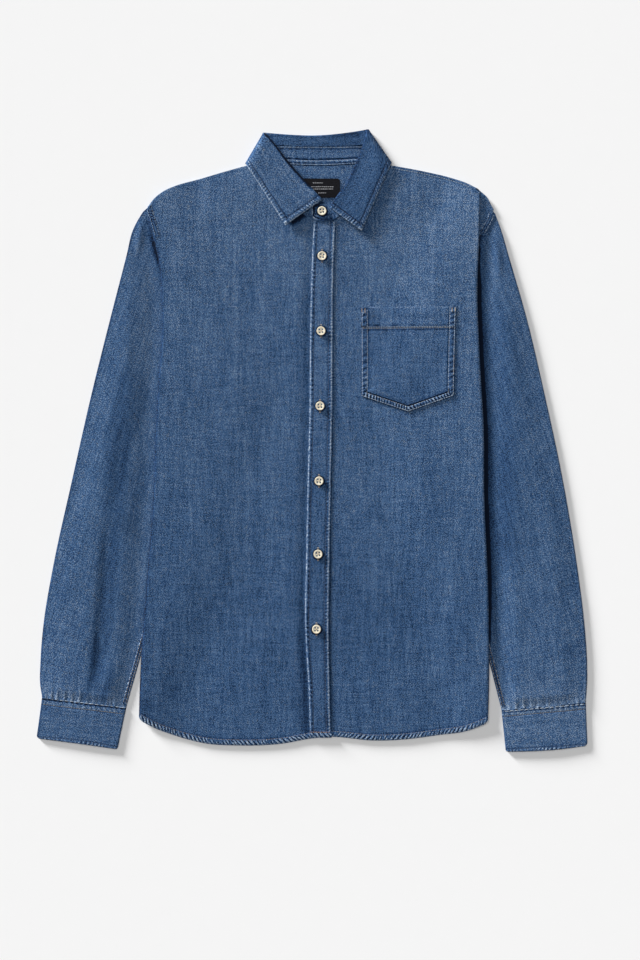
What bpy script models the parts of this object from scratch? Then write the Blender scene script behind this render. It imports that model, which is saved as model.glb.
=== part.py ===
"""Long-sleeved denim shirt, buttoned and laid flat on its back.

The sides of the body are turned under along straight folds, and the sleeves run down from
the shoulders with their inner halves under those folds. Wearer's right is -X, wearer's left
is +X, the collar points to +Y, and the floor is Z = 0. Sizes are millimetres; MM makes them
metres.
"""

import math

import bpy
import numpy as np

MM = 0.001
RIGHT, LEFT = -1, 1  # the wearer's sides, which are also the signs of X
MIDDLE_X = 1.9  # the tables' X starts at the neck, and this puts the outline's middle on 0

# Cloth
CLOTH = 1.1  # wall of one layer of denim
GAP = 0.3  # clearance between pieces that touch
LAYER = CLOTH + GAP
HALF = CLOTH / 2
CUFF_WALL = 1.6  # a cuff is doubled and fused
LABEL_WALL = 1.0
SLEEVE_STACK = 2 * LAYER  # a flattened sleeve, and the gap over it
COLLAR_STACK = LAYER  # the back fall of the collar, and the gap over it
STACK_MARGIN = 16.0  # how far the cloth above stays level past what it lies on
STACK_RISE = 70.0  # how far it then takes to come down to the floor
COLLAR_BACK = (6.0, 96.0)  # middle and half width of the collar's back fall, under the yoke

# Loft of the fronts over the back
LOFT_INSIDE = 1.1
LOFT_SIDE = 2.2  # at the side folds
LOFT_TOP = 1.0  # along the shoulders
LOFT_HEM = 0.5
LOFT_EASE = 75.0  # width over which one turns into the other
LOFT_TOP_Y = 250.0  # the loft along the shoulders starts here
LOFT_HEM_Y = -392.0  # and the loft along the hem ends here
HEM_SHARE = 0.8  # how much of the inner loft the hem takes away
HOOK = 8.0  # how far a front runs on under the body, past its side fold
HOOK_START = 0.45  # share of a half turn that the roll makes above the yoke seam
HOOK_DROP = 6.0  # the hook starts this far below the yoke seam
HOOK_EASE = 22.0  # and is at its full width this far below that
SHOULDER_DROP = 5.0  # the yoke seam lies this far in front of the shoulder edge
SHOULDER_MIDDLE = 5.0  # X of the middle of the two shoulder edges
SHOULDER_ROLL_START = 70.0  # the yoke starts to roll over this far from that middle
SHOULDER_ROLL_EASE = 22.0
SHOULDER_ROLL_END = 205.0  # and the roll fades out from here to the wearer's left fold
SHOULDER_ROLL_FADE = 12.0
YOKE_SEAM_Y = 267.0
YOKE_SEAM_GAP = 1.0  # open width of the seam where the shoulder edge curves
YOKE_FOOT_INSET = {RIGHT: 1.0, LEFT: 0.5}
YOKE_LIP = 0.5  # what the roll leaves of the yoke along the neck
BACK_HEM_LIFT = 2.0
BACK_CORNER_DROP = {RIGHT: 5.0, LEFT: 4.0}
SLEEVE_LAP = 4.0  # the sleeve head runs this far under the body at the armhole seam

# Slow waves in the fronts: length along X, length along Y, phase, height
WAVES = (
    (310.0, 420.0, 0.6, 0.22),
    (190.0, -260.0, 2.1, 0.16),
    (-140.0, 330.0, 4.0, 0.12),
)

# Side folds of the body, from the shoulder end to the hem: y, x
SIDE_FOLD = {
    RIGHT: (
        (303.6, -215.8),
        (284.1, -214.5),
        (260.7, -208.0),
        (234.7, -201.5),
        (182.7, -197.6),
        (130.7, -197.6),
        (78.7, -201.5),
        (26.7, -204.8),
        (-77.4, -208.7),
        (-181.3, -216.5),
        (-272.4, -223.6),
        (-362.1, -227.5),
    ),
    LEFT: (
        (323.1, 217.1),
        (273.7, 215.8),
        (182.7, 213.2),
        (130.7, 215.2),
        (78.7, 217.8),
        (26.7, 221.0),
        (-77.4, 222.3),
        (-181.3, 226.8),
        (-272.4, 228.4),
        (-365.9, 227.5),
    ),
}

# Hem of each front, from the side fold to the button stand: x, y
HEM = {
    RIGHT: (
        (-227.5, -362.1),
        (-204.8, -373.8),
        (-184.0, -381.6),
        (-163.2, -388.1),
        (-142.3, -393.0),
        (-100.8, -395.9),
        (-38.4, -393.2),
        (-7.2, -387.5),
        (20.2, -384.5),
    ),
    LEFT: (
        (227.5, -365.9),
        (200.8, -376.4),
        (159.2, -382.9),
        (117.7, -388.1),
        (76.0, -389.4),
        (34.5, -385.2),
        (22.8, -384.5),
    ),
}

# Shoulder edge, from the shoulder end to the side of the neck: x, y
SHOULDER = {
    RIGHT: (
        (-215.2, 303.6),
        (-206.1, 315.2),
        (-191.8, 325.7),
        (-180.1, 330.9),
        (-145.0, 341.2),
        (-115.0, 350.0),
        (-92.0, 356.5),
        (-74.0, 361.0),
    ),
    LEFT: (
        (217.1, 323.1),
        (206.1, 330.9),
        (180.1, 341.2),
        (142.3, 350.5),
        (104.0, 357.5),
        (84.0, 361.0),
    ),
}

# Front neckline, from the shoulder seam to the centre: x, y
FRONT_NECK = {
    RIGHT: (
        (-73.0, 355.5),
        (-61.8, 346.0),
        (-47.5, 326.5),
        (-30.6, 307.3),
        (-12.3, 293.0),
        (20.2, 283.3),
    ),
    LEFT: (
        (83.0, 355.5),
        (72.2, 344.5),
        (59.1, 324.0),
        (43.6, 304.5),
        (33.0, 290.0),
        (22.8, 283.3),
    ),
}
BACK_NECK = ((-74.0, 361.0), (-40.0, 359.2), (5.0, 358.4), (50.0, 359.2), (84.0, 361.0))

# End of the shoulder that shows past the wearer's left fold, down the armhole seam: x, y
SHOULDER_END = ((217.1, 323.1), (225.6, 315.2), (230.8, 304.9), (234.0, 300.0))

# The sleeve seams in plan: shoulder point, underarm point, inner end of the cuff seam
SLEEVE_SEAMS = {
    RIGHT: ((-217.8, 302.2), (-124.2, 70.9), (-243.0, -346.0)),
    LEFT: ((234.0, 300.3), (138.5, 63.1), (243.8, -348.8)),
}

# Top fold of each sleeve, from the shoulder to the cuff seam: x, y
SLEEVE_FOLD = {
    RIGHT: (
        (-218.4, 302.2),
        (-226.8, 289.2),
        (-234.7, 273.7),
        (-242.5, 242.5),
        (-264.6, 156.7),
        (-287.9, 63.1),
        (-312.7, -46.1),
        (-339.9, -171.0),
        (-350.4, -233.3),
        (-354.9, -285.4),
        (-355.3, -317.9),
        (-352.9, -333.0),
    ),
    LEFT: (
        (234.0, 300.3),
        (238.2, 289.2),
        (243.8, 273.7),
        (252.9, 242.5),
        (277.6, 156.7),
        (299.7, 63.1),
        (323.1, -46.1),
        (343.9, -171.0),
        (351.7, -233.3),
        (355.6, -285.4),
        (355.6, -317.9),
        (354.0, -339.0),
    ),
}
SLEEVE_CROWN = 4.0  # rise of the sleeve's upper layer along its middle
SLEEVE_EDGE = 1.8  # and beside its top fold
SLEEVE_EASE = 35.0
SLEEVE_LEVEL = 7.0  # the upper layer stays level this far out from under the body
SLEEVE_SEAM_SHARE = 0.2  # share of the crown at the sleeve's seams
CREASE_FADE = 30.0  # a crease fades over this length at each end

# Long soft creases of the sleeves: x and y at the top, x and y at the bottom, half width, depth
SLEEVE_CREASES = {
    RIGHT: (
        (-272.0, 20.0, -306.0, -170.0, 16.0, 1.6),
        (-283.0, -235.0, -296.0, -338.0, 10.0, 2.0),
    ),
    LEFT: (
        (268.0, 60.0, 292.0, -150.0, 16.0, 1.3),
        (325.0, -210.0, 318.0, -320.0, 12.0, 1.2),
    ),
}

# Cuffs: outer and inner end of the upper edge, outer and inner end of the lower edge
CUFF = {
    RIGHT: ((-353.0, -333.8), (-243.2, -346.8), (-360.2, -390.8), (-254.6, -402.0)),
    LEFT: ((354.0, -339.8), (244.0, -349.6), (356.3, -396.2), (249.7, -404.0)),
}
CUFF_EDGE = 2.0
CUFF_CROWN = 2.6

# Placket: y, x of its free edge, x of its sewn edge
PLACKET = (
    (284.3, 0.3, 29.2),
    (221.7, -2.5, 26.9),
    (148.8, -4.3, 26.0),
    (39.6, -5.2, 25.4),
    (-63.1, -7.9, 23.4),
    (-163.2, -9.8, 21.6),
    (-233.3, -11.1, 20.8),
    (-329.6, -6.1, 22.0),
    (-385.6, -4.5, 23.5),
)

POCKET_TOP = ((61.8, 173.0), (185.2, 174.2))
POCKET_FOOT = ((62.3, 57.5), (122.9, 37.1), (182.4, 58.1))
LABEL_SPAN = ((-17.0, 34.5), (315.4, 340.4))  # lowest and highest x, lowest and highest y

# Buttons, from the collar stand down: x, y
BUTTONS = (
    (11.1, 298.0),
    (11.1, 239.8),
    (9.8, 142.3),
    (8.5, 44.9),
    (7.2, -52.6),
    (5.9, -147.6),
    (3.9, -245.1),
)
BUTTON_RADIUS = 5.9
BUTTON_RIM = 2.6
BUTTON_DISH = 1.9
BUTTON_DISH_RADIUS = 3.9
BUTTON_BEVEL = 0.7
BUTTON_SEAT = 0.05  # more clearance under a button, where the placket curves
PATCH_SEAT = 0.1  # more clearance under the pocket and the label

# Collar stand as a flattened ring, from its under end round the back to its buttoned end:
# lower edge x and y, upper edge x and y, height over the floor
STAND = (
    (-15.5, 298.6, -5.0, 309.5, 5.2),
    (-29.8, 308.9, -20.5, 334.0, 5.2),
    (-46.7, 327.9, -38.5, 356.0, 5.2),
    (-60.8, 347.3, -52.5, 375.0, 5.2),
    (-70.0, 359.5, -60.0, 384.0, 5.0),
    (-72.4, 362.0, -62.5, 385.5, 3.8),
    (-70.0, 362.4, -60.0, 384.0, 2.5),
    (-40.0, 361.0, -38.0, 382.5, 2.3),
    (5.0, 359.4, 5.0, 382.0, 2.3),
    (50.0, 361.0, 49.0, 382.5, 2.3),
    (79.0, 362.4, 70.0, 385.0, 2.5),
    (81.0, 363.4, 72.5, 386.5, 3.8),
    (79.0, 359.5, 70.0, 384.0, 5.0),
    (71.2, 345.6, 64.0, 366.0, 5.2),
    (58.3, 325.2, 55.0, 346.0, 5.2),
    (43.6, 306.6, 44.0, 327.0, 5.6),
    (36.0, 294.5, 32.0, 311.5, 6.2),
    (25.4, 286.6, 23.0, 309.4, 6.2),
    (6.0, 286.0, 6.0, 309.4, 6.2),
    (0.2, 288.6, 0.2, 306.6, 6.2),
    (-2.2, 293.6, -2.2, 301.6, 6.2),
)

# Collar, from the point on the wearer's right round the back to the other point: seam x and
# y, roll x and y, outer edge x and y, heights of the seam, the roll and the edge, the turn
# that the outside faces (90 up, 270 down), and the radius of the roll
COLLAR = (
    (-3.5, 310.6, 8.0, 312.9, -36.4, 279.5, 5.2, 6.7, 6.6, 90.0, 1.5),
    (-20.2, 335.0, -14.5, 339.4, -49.5, 299.8, 5.2, 6.7, 6.4, 90.0, 1.5),
    (-38.2, 357.0, -34.8, 363.2, -62.6, 320.2, 5.2, 6.7, 6.4, 90.0, 1.5),
    (-52.2, 376.0, -50.0, 384.6, -75.8, 340.6, 5.2, 6.7, 6.4, 90.0, 1.5),
    (-59.7, 385.0, -59.2, 396.4, -83.8, 353.4, 5.0, 6.5, 6.2, 100.0, 1.5),
    (-61.6, 386.0, -60.8, 398.0, -87.4, 359.4, 4.6, 5.2, 5.2, 140.0, 1.4),
    (-62.4, 386.5, -61.6, 398.6, -88.4, 361.2, 3.8, 3.8, 3.6, 180.0, 1.3),
    (-61.6, 386.0, -60.8, 398.8, -87.2, 361.4, 3.0, 2.4, 1.4, 225.0, 1.1),
    (-59.7, 385.0, -58.0, 399.4, -82.0, 360.0, 2.5, 1.6, 0.7, 262.0, 0.9),
    (-38.0, 383.3, -38.0, 398.6, -56.0, 354.0, 2.3, 1.45, 0.6, 270.0, 0.9),
    (5.0, 382.8, 5.0, 397.0, 5.0, 350.0, 2.3, 1.45, 0.6, 270.0, 0.9),
    (49.0, 383.3, 49.0, 400.2, 66.0, 354.0, 2.3, 1.45, 0.6, 270.0, 0.9),
    (69.7, 386.0, 68.0, 403.4, 94.0, 360.0, 2.5, 1.6, 0.7, 278.0, 0.9),
    (71.6, 387.0, 70.0, 403.8, 99.6, 361.4, 3.0, 2.4, 1.4, 315.0, 1.1),
    (72.4, 387.5, 70.8, 403.6, 101.0, 361.0, 3.8, 3.8, 3.6, 360.0, 1.3),
    (71.6, 387.0, 70.2, 402.6, 100.2, 358.6, 4.6, 5.2, 5.2, 400.0, 1.4),
    (69.7, 385.0, 67.6, 393.8, 96.8, 350.8, 5.0, 6.5, 6.2, 440.0, 1.5),
    (63.7, 367.0, 60.0, 370.8, 88.0, 331.0, 5.2, 6.7, 6.4, 450.0, 1.5),
    (54.7, 347.0, 50.4, 350.2, 79.4, 311.2, 5.2, 6.7, 6.4, 450.0, 1.5),
    (43.7, 328.0, 39.2, 330.6, 70.8, 291.6, 5.6, 7.1, 6.4, 450.0, 1.5),
    (26.5, 310.4, 14.6, 311.4, 62.4, 272.4, 6.2, 7.7, 6.6, 450.0, 1.5),
)

# Grid of each piece: cells along it, cells across it
FRONT_CELLS = (26, 10)
BACK_CELLS = (24, 16)
YOKE_CELLS = (20, 4)
SLEEVE_CELLS = (20, 10)
CUFF_CELLS = (3, 8)
PLACKET_CELLS = (26, 2)
POCKET_CELLS = (8, 8)
LABEL_CELLS = (3, 4)
ROLL_CELLS = 5
COLLAR_FALL_CELLS = 4
STAND_CELLS = 3
FOLD_TURNS = np.radians((36.0, 72.0, 108.0, 144.0))  # steps round the folds of a flattened tube
BUTTON_SIDES = 16

# Colours (linear red, green, blue) and roughness
DENIM = (0.052, 0.098, 0.195, 0.85)
DENIM_INSIDE = (0.060, 0.105, 0.195, 0.85)
LABEL_BLACK = (0.010, 0.010, 0.013, 0.70)
BUTTON_CREAM = (0.68, 0.62, 0.50, 0.35)


def smooth(value):
    """Eases 0 to 1 for a value that runs from 0 to 1."""
    value = np.clip(value, 0.0, 1.0)
    return value * value * (3.0 - 2.0 * value)


def column(table, key, value, wanted=1):
    """Reads a table at a height or station between two of its rows."""
    rows = sorted(table, key=lambda row: row[key])
    return np.interp(value, [row[key] for row in rows], [row[wanted] for row in rows])


def side_x(side, y):
    """X of the side fold at a height y."""
    return column(SIDE_FOLD[side], 0, y)


def spaced(points, count):
    """count + 1 points at equal steps along a line through the points."""
    points = np.asarray(points, float)
    steps = np.linalg.norm(np.diff(points, axis=0), axis=1)
    reached = np.concatenate([[0.0], np.cumsum(steps)])
    wanted = np.linspace(0.0, reached[-1], count + 1)
    return np.stack([np.interp(wanted, reached, points[:, axis]) for axis in range(2)], axis=1)


def patch(foot, top, start, end):
    """Fills four edges with a grid. foot and top run from start to end, rows go upwards."""
    rows, columns = len(start), len(foot)
    up = np.linspace(0.0, 1.0, rows)[:, None, None]
    over = np.linspace(0.0, 1.0, columns)[None, :, None]
    between_rows = (1 - up) * foot[None] + up * top[None]
    between_columns = (1 - over) * start[:, None] + over * end[:, None]
    corners = (1 - up) * ((1 - over) * foot[0] + over * foot[-1]) + up * (
        (1 - over) * top[0] + over * top[-1]
    )
    return between_rows + between_columns - corners


def past_line(start, end, side, x, y):
    """Distance of a point from a sleeve seam, positive on the body's side of it."""
    along = np.subtract(end, start)
    normal = np.array([along[1], -along[0]]) / np.hypot(*along)
    if normal[0] * side > 0:
        normal = -normal
    return (x - start[0]) * normal[0] + (y - start[1]) * normal[1]


def past_sleeve(side, x, y):
    """Distance of a point from the flattened sleeve, positive outside it."""
    shoulder, underarm, wrist = SLEEVE_SEAMS[side]
    return np.maximum(
        past_line(shoulder, underarm, side, x, y), past_line(underarm, wrist, side, x, y)
    )


def stack_height(height, distance):
    """Height of the cloth that lies over something, at a distance from its edge."""
    return height * (1.0 - smooth((distance - STACK_MARGIN) / STACK_RISE))


def body_floor(x, y):
    """Underside of the body: over the sleeves and the collar's back, else on the floor."""
    collar_low = COLLAR[len(COLLAR) // 2][5]
    past_collar = np.maximum(np.abs(x - COLLAR_BACK[0]) - COLLAR_BACK[1], collar_low - y)
    floor = stack_height(COLLAR_STACK, past_collar)
    for side in (RIGHT, LEFT):
        floor = np.maximum(floor, stack_height(SLEEVE_STACK, past_sleeve(side, x, y)))
    return floor


def back_z(x, y):
    """Middle of the back's wall."""
    return body_floor(x, y) + HALF


def front_z(x, y):
    """Middle of the fronts' wall."""
    side = np.where(x < 0, RIGHT, LEFT)
    inward = np.where(side == RIGHT, x - side_x(RIGHT, y), side_x(LEFT, y) - x)
    at_side = 1.0 - smooth(inward / LOFT_EASE)
    at_top = smooth((y - LOFT_TOP_Y) / LOFT_EASE) * (1.0 - at_side)
    at_hem = 1.0 - smooth((y - LOFT_HEM_Y) / LOFT_EASE)
    loft = LOFT_INSIDE + (LOFT_SIDE - LOFT_INSIDE) * at_side + (LOFT_TOP - LOFT_INSIDE) * at_top
    for length_x, length_y, phase, height in WAVES:
        turn = 2.0 * math.pi * (x / length_x + y / length_y) + phase
        loft = loft + height * np.sin(turn) * (1.0 - at_side) * (1.0 - at_top)
    loft = loft + (LOFT_HEM - loft) * at_hem * HEM_SHARE
    return back_z(x, y) + LAYER + loft


def sleeve_top_z(side, x, y):
    """Middle of a sleeve's upper wall: level under the body, crowned where it lies free."""
    beside_body = (x - side_x(side, y)) * side - SLEEVE_LEVEL
    under = -past_sleeve(side, x, y)
    fold = column(SLEEVE_FOLD[side], 1, y, 0)
    from_fold = (fold - x) * side
    crown = SLEEVE_EDGE + (SLEEVE_CROWN - SLEEVE_EDGE) * smooth(from_fold / SLEEVE_EASE)
    for x0, y0, x1, y1, width, depth in SLEEVE_CREASES[side]:
        share = np.clip((y0 - y) / (y0 - y1), 0.0, 1.0)
        away = (x - (x0 + (x1 - x0) * share)) / width
        from_top = smooth((y0 + CREASE_FADE - y) / (2 * CREASE_FADE))
        from_foot = smooth((y - y1 + CREASE_FADE) / (2 * CREASE_FADE))
        crown = crown - depth * np.exp(-away * away) * from_top * from_foot
    free = smooth(beside_body / SLEEVE_EASE) * smooth(SLEEVE_SEAM_SHARE + under / SLEEVE_EASE)
    return HALF + LAYER + crown * free


def finish(name, points, colour, wall, closed_ring=False):
    """Makes the named piece: a grid of points in millimetres, thickened to its wall."""
    rows, columns = points.shape[:2]
    mesh = bpy.data.meshes.new(name)
    across = columns if closed_ring else columns - 1
    faces = []
    for i in range(rows - 1):
        low, high = i * columns, (i + 1) * columns
        for j in range(across):
            k = (j + 1) % columns
            faces.append((low + j, low + k, high + k, high + j))
    placed = (points.reshape(-1, 3) + (MIDDLE_X, 0.0, 0.0)) * MM
    mesh.from_pydata(placed.tolist(), [], faces)
    mesh.update()
    mesh.shade_smooth()
    piece = bpy.data.objects.new(name, mesh)
    shirt.objects.link(piece)
    shell = piece.modifiers.new("wall", "SOLIDIFY")
    shell.thickness = wall * MM
    shell.offset = 0.0
    paint(piece, colour)
    return piece


def paint(piece, colour):
    """Gives a piece a material of its own."""
    material = bpy.data.materials.new(piece.name)
    material.use_nodes = True
    shader = material.node_tree.nodes["Principled BSDF"]
    shader.inputs["Base Color"].default_value = (*colour[:3], 1.0)
    shader.inputs["Roughness"].default_value = colour[3]
    piece.data.materials.append(material)


def lift(plan, height):
    """Adds heights to a grid of plan points."""
    return np.dstack([plan, height(plan[..., 0], plan[..., 1])])


def roll_path(radius, reach, count):
    """Steps round a fold and on past it: how far out, and how far down from the top."""
    arc = math.pi * radius
    length = np.linspace(0.0, 1.0, count + 1)[1:] * reach
    turn = np.minimum(length, arc) / radius
    straight = np.maximum(length - arc, 0.0)
    return radius * np.sin(turn) - straight, radius * (1.0 - np.cos(turn))


def make_front(side):
    """One front: its upper sheet, the roll at the side fold, and the hook under the body."""
    rows, columns = FRONT_CELLS
    radius = (LAYER + LOFT_SIDE) / 2
    inset = radius + HALF
    top_line = [(x, y - SHOULDER_DROP) for x, y in SHOULDER[side][:-1]] + list(FRONT_NECK[side])
    top_line[0] = (top_line[0][0] - side * inset, top_line[0][1])
    foot_line = list(HEM[side])
    foot_line[0] = (foot_line[0][0] - side * inset, foot_line[0][1])
    fold_y = np.linspace(foot_line[0][1], top_line[0][1], rows + 1)
    fold = np.stack([side_x(side, fold_y) - side * inset, fold_y], axis=1)
    fold[0], fold[-1] = foot_line[0], top_line[0]
    centre = spaced((foot_line[-1], top_line[-1]), rows)
    plan = patch(spaced(foot_line, columns), spaced(top_line, columns), fold, centre)
    sheet = lift(plan, front_z)
    rolled = np.zeros((rows + 1, ROLL_CELLS, 3))
    for i in range(rows + 1):
        x, y, z = sheet[i, 0]
        row_radius = (z - back_z(x, y)) / 2
        half_turn = math.pi * row_radius
        short, full = HOOK_START * half_turn, half_turn + HOOK
        reach = short + (full - short) * smooth((YOKE_SEAM_Y - HOOK_DROP - y) / HOOK_EASE)
        out, down = roll_path(row_radius, reach, ROLL_CELLS)
        rolled[i, :, 0] = x + side * out
        rolled[i, :, 1] = y
        rolled[i, :, 2] = z - down
    grid = np.concatenate([rolled[:, ::-1], sheet], axis=1)
    if side == LEFT:
        grid = grid[:, ::-1]
    name = "front_right" if side == RIGHT else "front_left"
    return finish(name, grid, DENIM, CLOTH)


def make_back():
    """The back below the yoke, between the hooks of the two fronts."""
    rows, columns = BACK_CELLS
    inset = (LAYER + LOFT_SIDE) / 2 + HALF + HOOK + 3 * GAP
    foot_line = list(HEM[RIGHT][:-1]) + list(reversed(HEM[LEFT][:-1]))
    foot_line = [(x, y + BACK_HEM_LIFT) for x, y in foot_line]
    for end, side in ((0, RIGHT), (-1, LEFT)):
        x, y = foot_line[end]
        foot_line[end] = (x - side * inset, y - BACK_CORNER_DROP[side])
    edges = []
    for side, low in ((RIGHT, foot_line[0]), (LEFT, foot_line[-1])):
        y = np.linspace(low[1], YOKE_SEAM_Y - GAP, rows + 1)
        edge = np.stack([side_x(side, y) - side * inset, y], axis=1)
        edge[0] = low
        edges.append(edge)
    top = spaced((edges[0][-1], edges[1][-1]), columns)
    plan = patch(spaced(foot_line, columns), top, *edges)
    return finish("back", lift(plan, back_z), DENIM_INSIDE, CLOTH)


def make_yoke():
    """The yoke under the shoulders, rolled over the shoulder edges to its front seams."""
    columns, rows = YOKE_CELLS
    armhole = SLEEVE_SEAMS[LEFT]
    share = (armhole[0][1] - YOKE_SEAM_Y) / (armhole[0][1] - armhole[1][1])
    armhole_x = armhole[0][0] + share * (armhole[1][0] - armhole[0][0])
    foot_start = (side_x(RIGHT, YOKE_SEAM_Y) + YOKE_FOOT_INSET[RIGHT], YOKE_SEAM_Y)
    foot_end = (armhole_x - YOKE_FOOT_INSET[LEFT], YOKE_SEAM_Y)
    edge_line = list(SHOULDER[RIGHT][:-1]) + list(BACK_NECK) + list(reversed(SHOULDER[LEFT][:-1]))
    edge_line += list(SHOULDER_END[1:])
    edge = spaced(edge_line, columns)
    radius = (LAYER + LOFT_TOP) / 2
    from_middle = np.abs(edge[:, 0] - SHOULDER_MIDDLE)
    on_shoulder = smooth((from_middle - SHOULDER_ROLL_START) / SHOULDER_ROLL_EASE)
    on_shoulder *= 1.0 - smooth((edge[:, 0] - SHOULDER_ROLL_END) / SHOULDER_ROLL_FADE)
    inset = (radius + HALF) * np.maximum(on_shoulder, 0.05)
    top = edge - np.stack([np.zeros(len(edge)), inset], axis=1)
    foot = spaced((foot_start, foot_end), columns)
    plan = patch(foot, top, spaced((foot[0], top[0]), rows), spaced((foot[-1], top[-1]), rows))
    sheet = lift(plan, back_z)
    rolled = np.zeros((ROLL_CELLS, columns + 1, 3))
    for j in range(columns + 1):
        x, y, z = sheet[-1, j]
        seam_y = edge[j, 1] - SHOULDER_DROP
        column_radius = (front_z(x, seam_y) - z) / 2
        lip = y - seam_y - YOKE_SEAM_GAP
        reach = max(YOKE_LIP, (math.pi * column_radius + lip) * on_shoulder[j])
        out, up = roll_path(column_radius, reach, ROLL_CELLS)
        rolled[:, j, 0] = x
        rolled[:, j, 1] = y + out
        rolled[:, j, 2] = z + up
    return finish("yoke", np.concatenate([sheet, rolled]), DENIM_INSIDE, CLOTH)


def flat_ring(outer, inner, top_z, floor_z, cells, side):
    """A flattened tube's section from its top fold to its seam, as a ring of points.

    The lower wall takes every second point, because it lies flat.
    """
    outer_z = top_z(*outer)
    inner_z = top_z(*inner)
    outer_radius = (outer_z - floor_z) / 2
    inner_radius = (inner_z - floor_z) / 2
    across = np.subtract(inner, outer)
    across = across / np.hypot(*across)
    start = np.add(outer, across * (outer_radius + floor_z))
    end = np.subtract(inner, across * (inner_radius + floor_z))
    share = np.linspace(0.0, 1.0, cells + 1)[:, None]
    line = start + (end - start) * share
    upper = np.column_stack([line, top_z(line[:, 0], line[:, 1])])
    lower = np.column_stack([line, np.full(len(line), floor_z)])
    ends = []
    for centre, radius, outwards in ((end, inner_radius, across), (start, outer_radius, -across)):
        plan = centre + outwards * radius * np.sin(FOLD_TURNS)[:, None]
        ends.append(np.column_stack([plan, floor_z + radius * (1.0 + np.cos(FOLD_TURNS))]))
    ring = np.concatenate([upper, ends[0], lower[::-2], ends[1][::-1]])
    return ring[::-1] if side == RIGHT else ring


def make_sleeve(side):
    """One sleeve, flattened: a tube from the armhole seam to the cuff."""
    rows, cells = SLEEVE_CELLS
    shoulder, underarm, wrist = (np.array(point) for point in SLEEVE_SEAMS[side])
    along = underarm - shoulder
    lap = np.array([-along[1], along[0]]) / np.hypot(*along) * SLEEVE_LAP
    if lap[0] * side > 0:
        lap = -lap
    outer = spaced(SLEEVE_FOLD[side], rows)
    inner = spaced((underarm, wrist), rows)
    outer[0] += lap
    inner[0] += lap
    rings = [
        flat_ring(o, i, lambda x, y: sleeve_top_z(side, x, y), HALF, cells, side)
        for o, i in zip(outer, inner)
    ]
    name = "sleeve_right" if side == RIGHT else "sleeve_left"
    return finish(name, np.array(rings), DENIM, CLOTH, closed_ring=True)


def make_cuff(side):
    """One cuff, flattened, doubled cloth with a soft crown."""
    rows, cells = CUFF_CELLS
    top_outer, top_inner, low_outer, low_inner = (np.array(point) for point in CUFF[side])
    floor_z = CUFF_WALL / 2

    def top_z(x, y):
        share = np.clip((x - top_outer[0]) / (top_inner[0] - top_outer[0]), 0.0, 1.0)
        crown = CUFF_EDGE + (CUFF_CROWN - CUFF_EDGE) * np.sin(math.pi * share)
        return floor_z + CUFF_WALL + GAP + crown

    share = np.linspace(0.0, 1.0, rows + 1)[:, None]
    outer = top_outer + (low_outer - top_outer) * share
    inner = top_inner + (low_inner - top_inner) * share
    rings = [flat_ring(o, i, top_z, floor_z, cells, side) for o, i in zip(outer, inner)]
    name = "cuff_right" if side == RIGHT else "cuff_left"
    return finish(name, np.array(rings), DENIM, CUFF_WALL, closed_ring=True)


def make_placket():
    """The button placket, a strip on the edges of both fronts."""
    rows, cells = PLACKET_CELLS
    y = np.linspace(PLACKET[-1][0], PLACKET[0][0], rows + 1)
    free, sewn = column(PLACKET, 0, y, 1), column(PLACKET, 0, y, 2)
    share = np.linspace(0.0, 1.0, cells + 1)[None, :]
    x = free[:, None] + (sewn - free)[:, None] * share
    plan = np.dstack([x, np.repeat(y[:, None], cells + 1, axis=1)])
    return finish("placket", lift(plan, lambda x, y: front_z(x, y) + LAYER), DENIM, CLOTH)


def make_pocket():
    """The patch pocket on the wearer's left breast."""
    rows, columns = POCKET_CELLS
    left = spaced((POCKET_FOOT[0], POCKET_TOP[0]), rows)
    right = spaced((POCKET_FOOT[-1], POCKET_TOP[1]), rows)
    plan = patch(spaced(POCKET_FOOT, columns), spaced(POCKET_TOP, columns), left, right)
    rise = LAYER + PATCH_SEAT
    return finish("pocket", lift(plan, lambda x, y: front_z(x, y) + rise), DENIM, CLOTH)


def make_label():
    """The woven label inside the neck, on the yoke."""
    rows, columns = LABEL_CELLS
    (x0, x1), (y0, y1) = LABEL_SPAN
    x, y = np.meshgrid(np.linspace(x0, x1, columns + 1), np.linspace(y0, y1, rows + 1))
    rise = HALF + GAP + LABEL_WALL / 2 + PATCH_SEAT
    points = lift(np.dstack([x, y]), lambda x, y: back_z(x, y) + rise)
    return finish("neck_label", points, LABEL_BLACK, LABEL_WALL)


def make_stand():
    """The collar stand, a flattened ring between the neckline and the collar."""
    rows = np.array(STAND)
    share = np.linspace(0.0, 1.0, STAND_CELLS + 1)[None, :, None]
    lower = rows[:, None, [0, 1, 4]]
    upper = rows[:, None, [2, 3, 4]]
    points = lower + (upper - lower) * share
    return finish("stand", points[:, ::-1], DENIM_INSIDE, CLOTH)


def collar_section(row):
    """One section of the collar: seam, rise, roll and fall."""
    seam = np.array([row[0], row[1], row[6]])
    roll = np.array([row[2], row[3], row[7]])
    edge = np.array([row[4], row[5], row[8]])
    turn, radius = math.radians(row[9]), row[10]
    up = np.append(roll[:2] - seam[:2], 0.0)
    up = up / np.linalg.norm(up)
    outward = np.array([math.cos(turn), 0.0, math.sin(turn)])
    centre = roll - radius * up
    arc = [
        centre + radius * (up * math.sin(step) - outward * math.cos(step))
        for step in np.linspace(0.0, math.pi, ROLL_CELLS)
    ]
    share = np.linspace(0.0, 1.0, COLLAR_FALL_CELLS + 1)[1:, None]
    fall = arc[-1] + (edge - arc[-1]) * share
    return np.concatenate([[seam], arc, fall])


def make_collar():
    """The collar: it rises from the stand, rolls over, and falls outside it."""
    sections = np.array([collar_section(row) for row in COLLAR])
    return finish("collar", sections[:, ::-1], DENIM, CLOTH)


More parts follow.
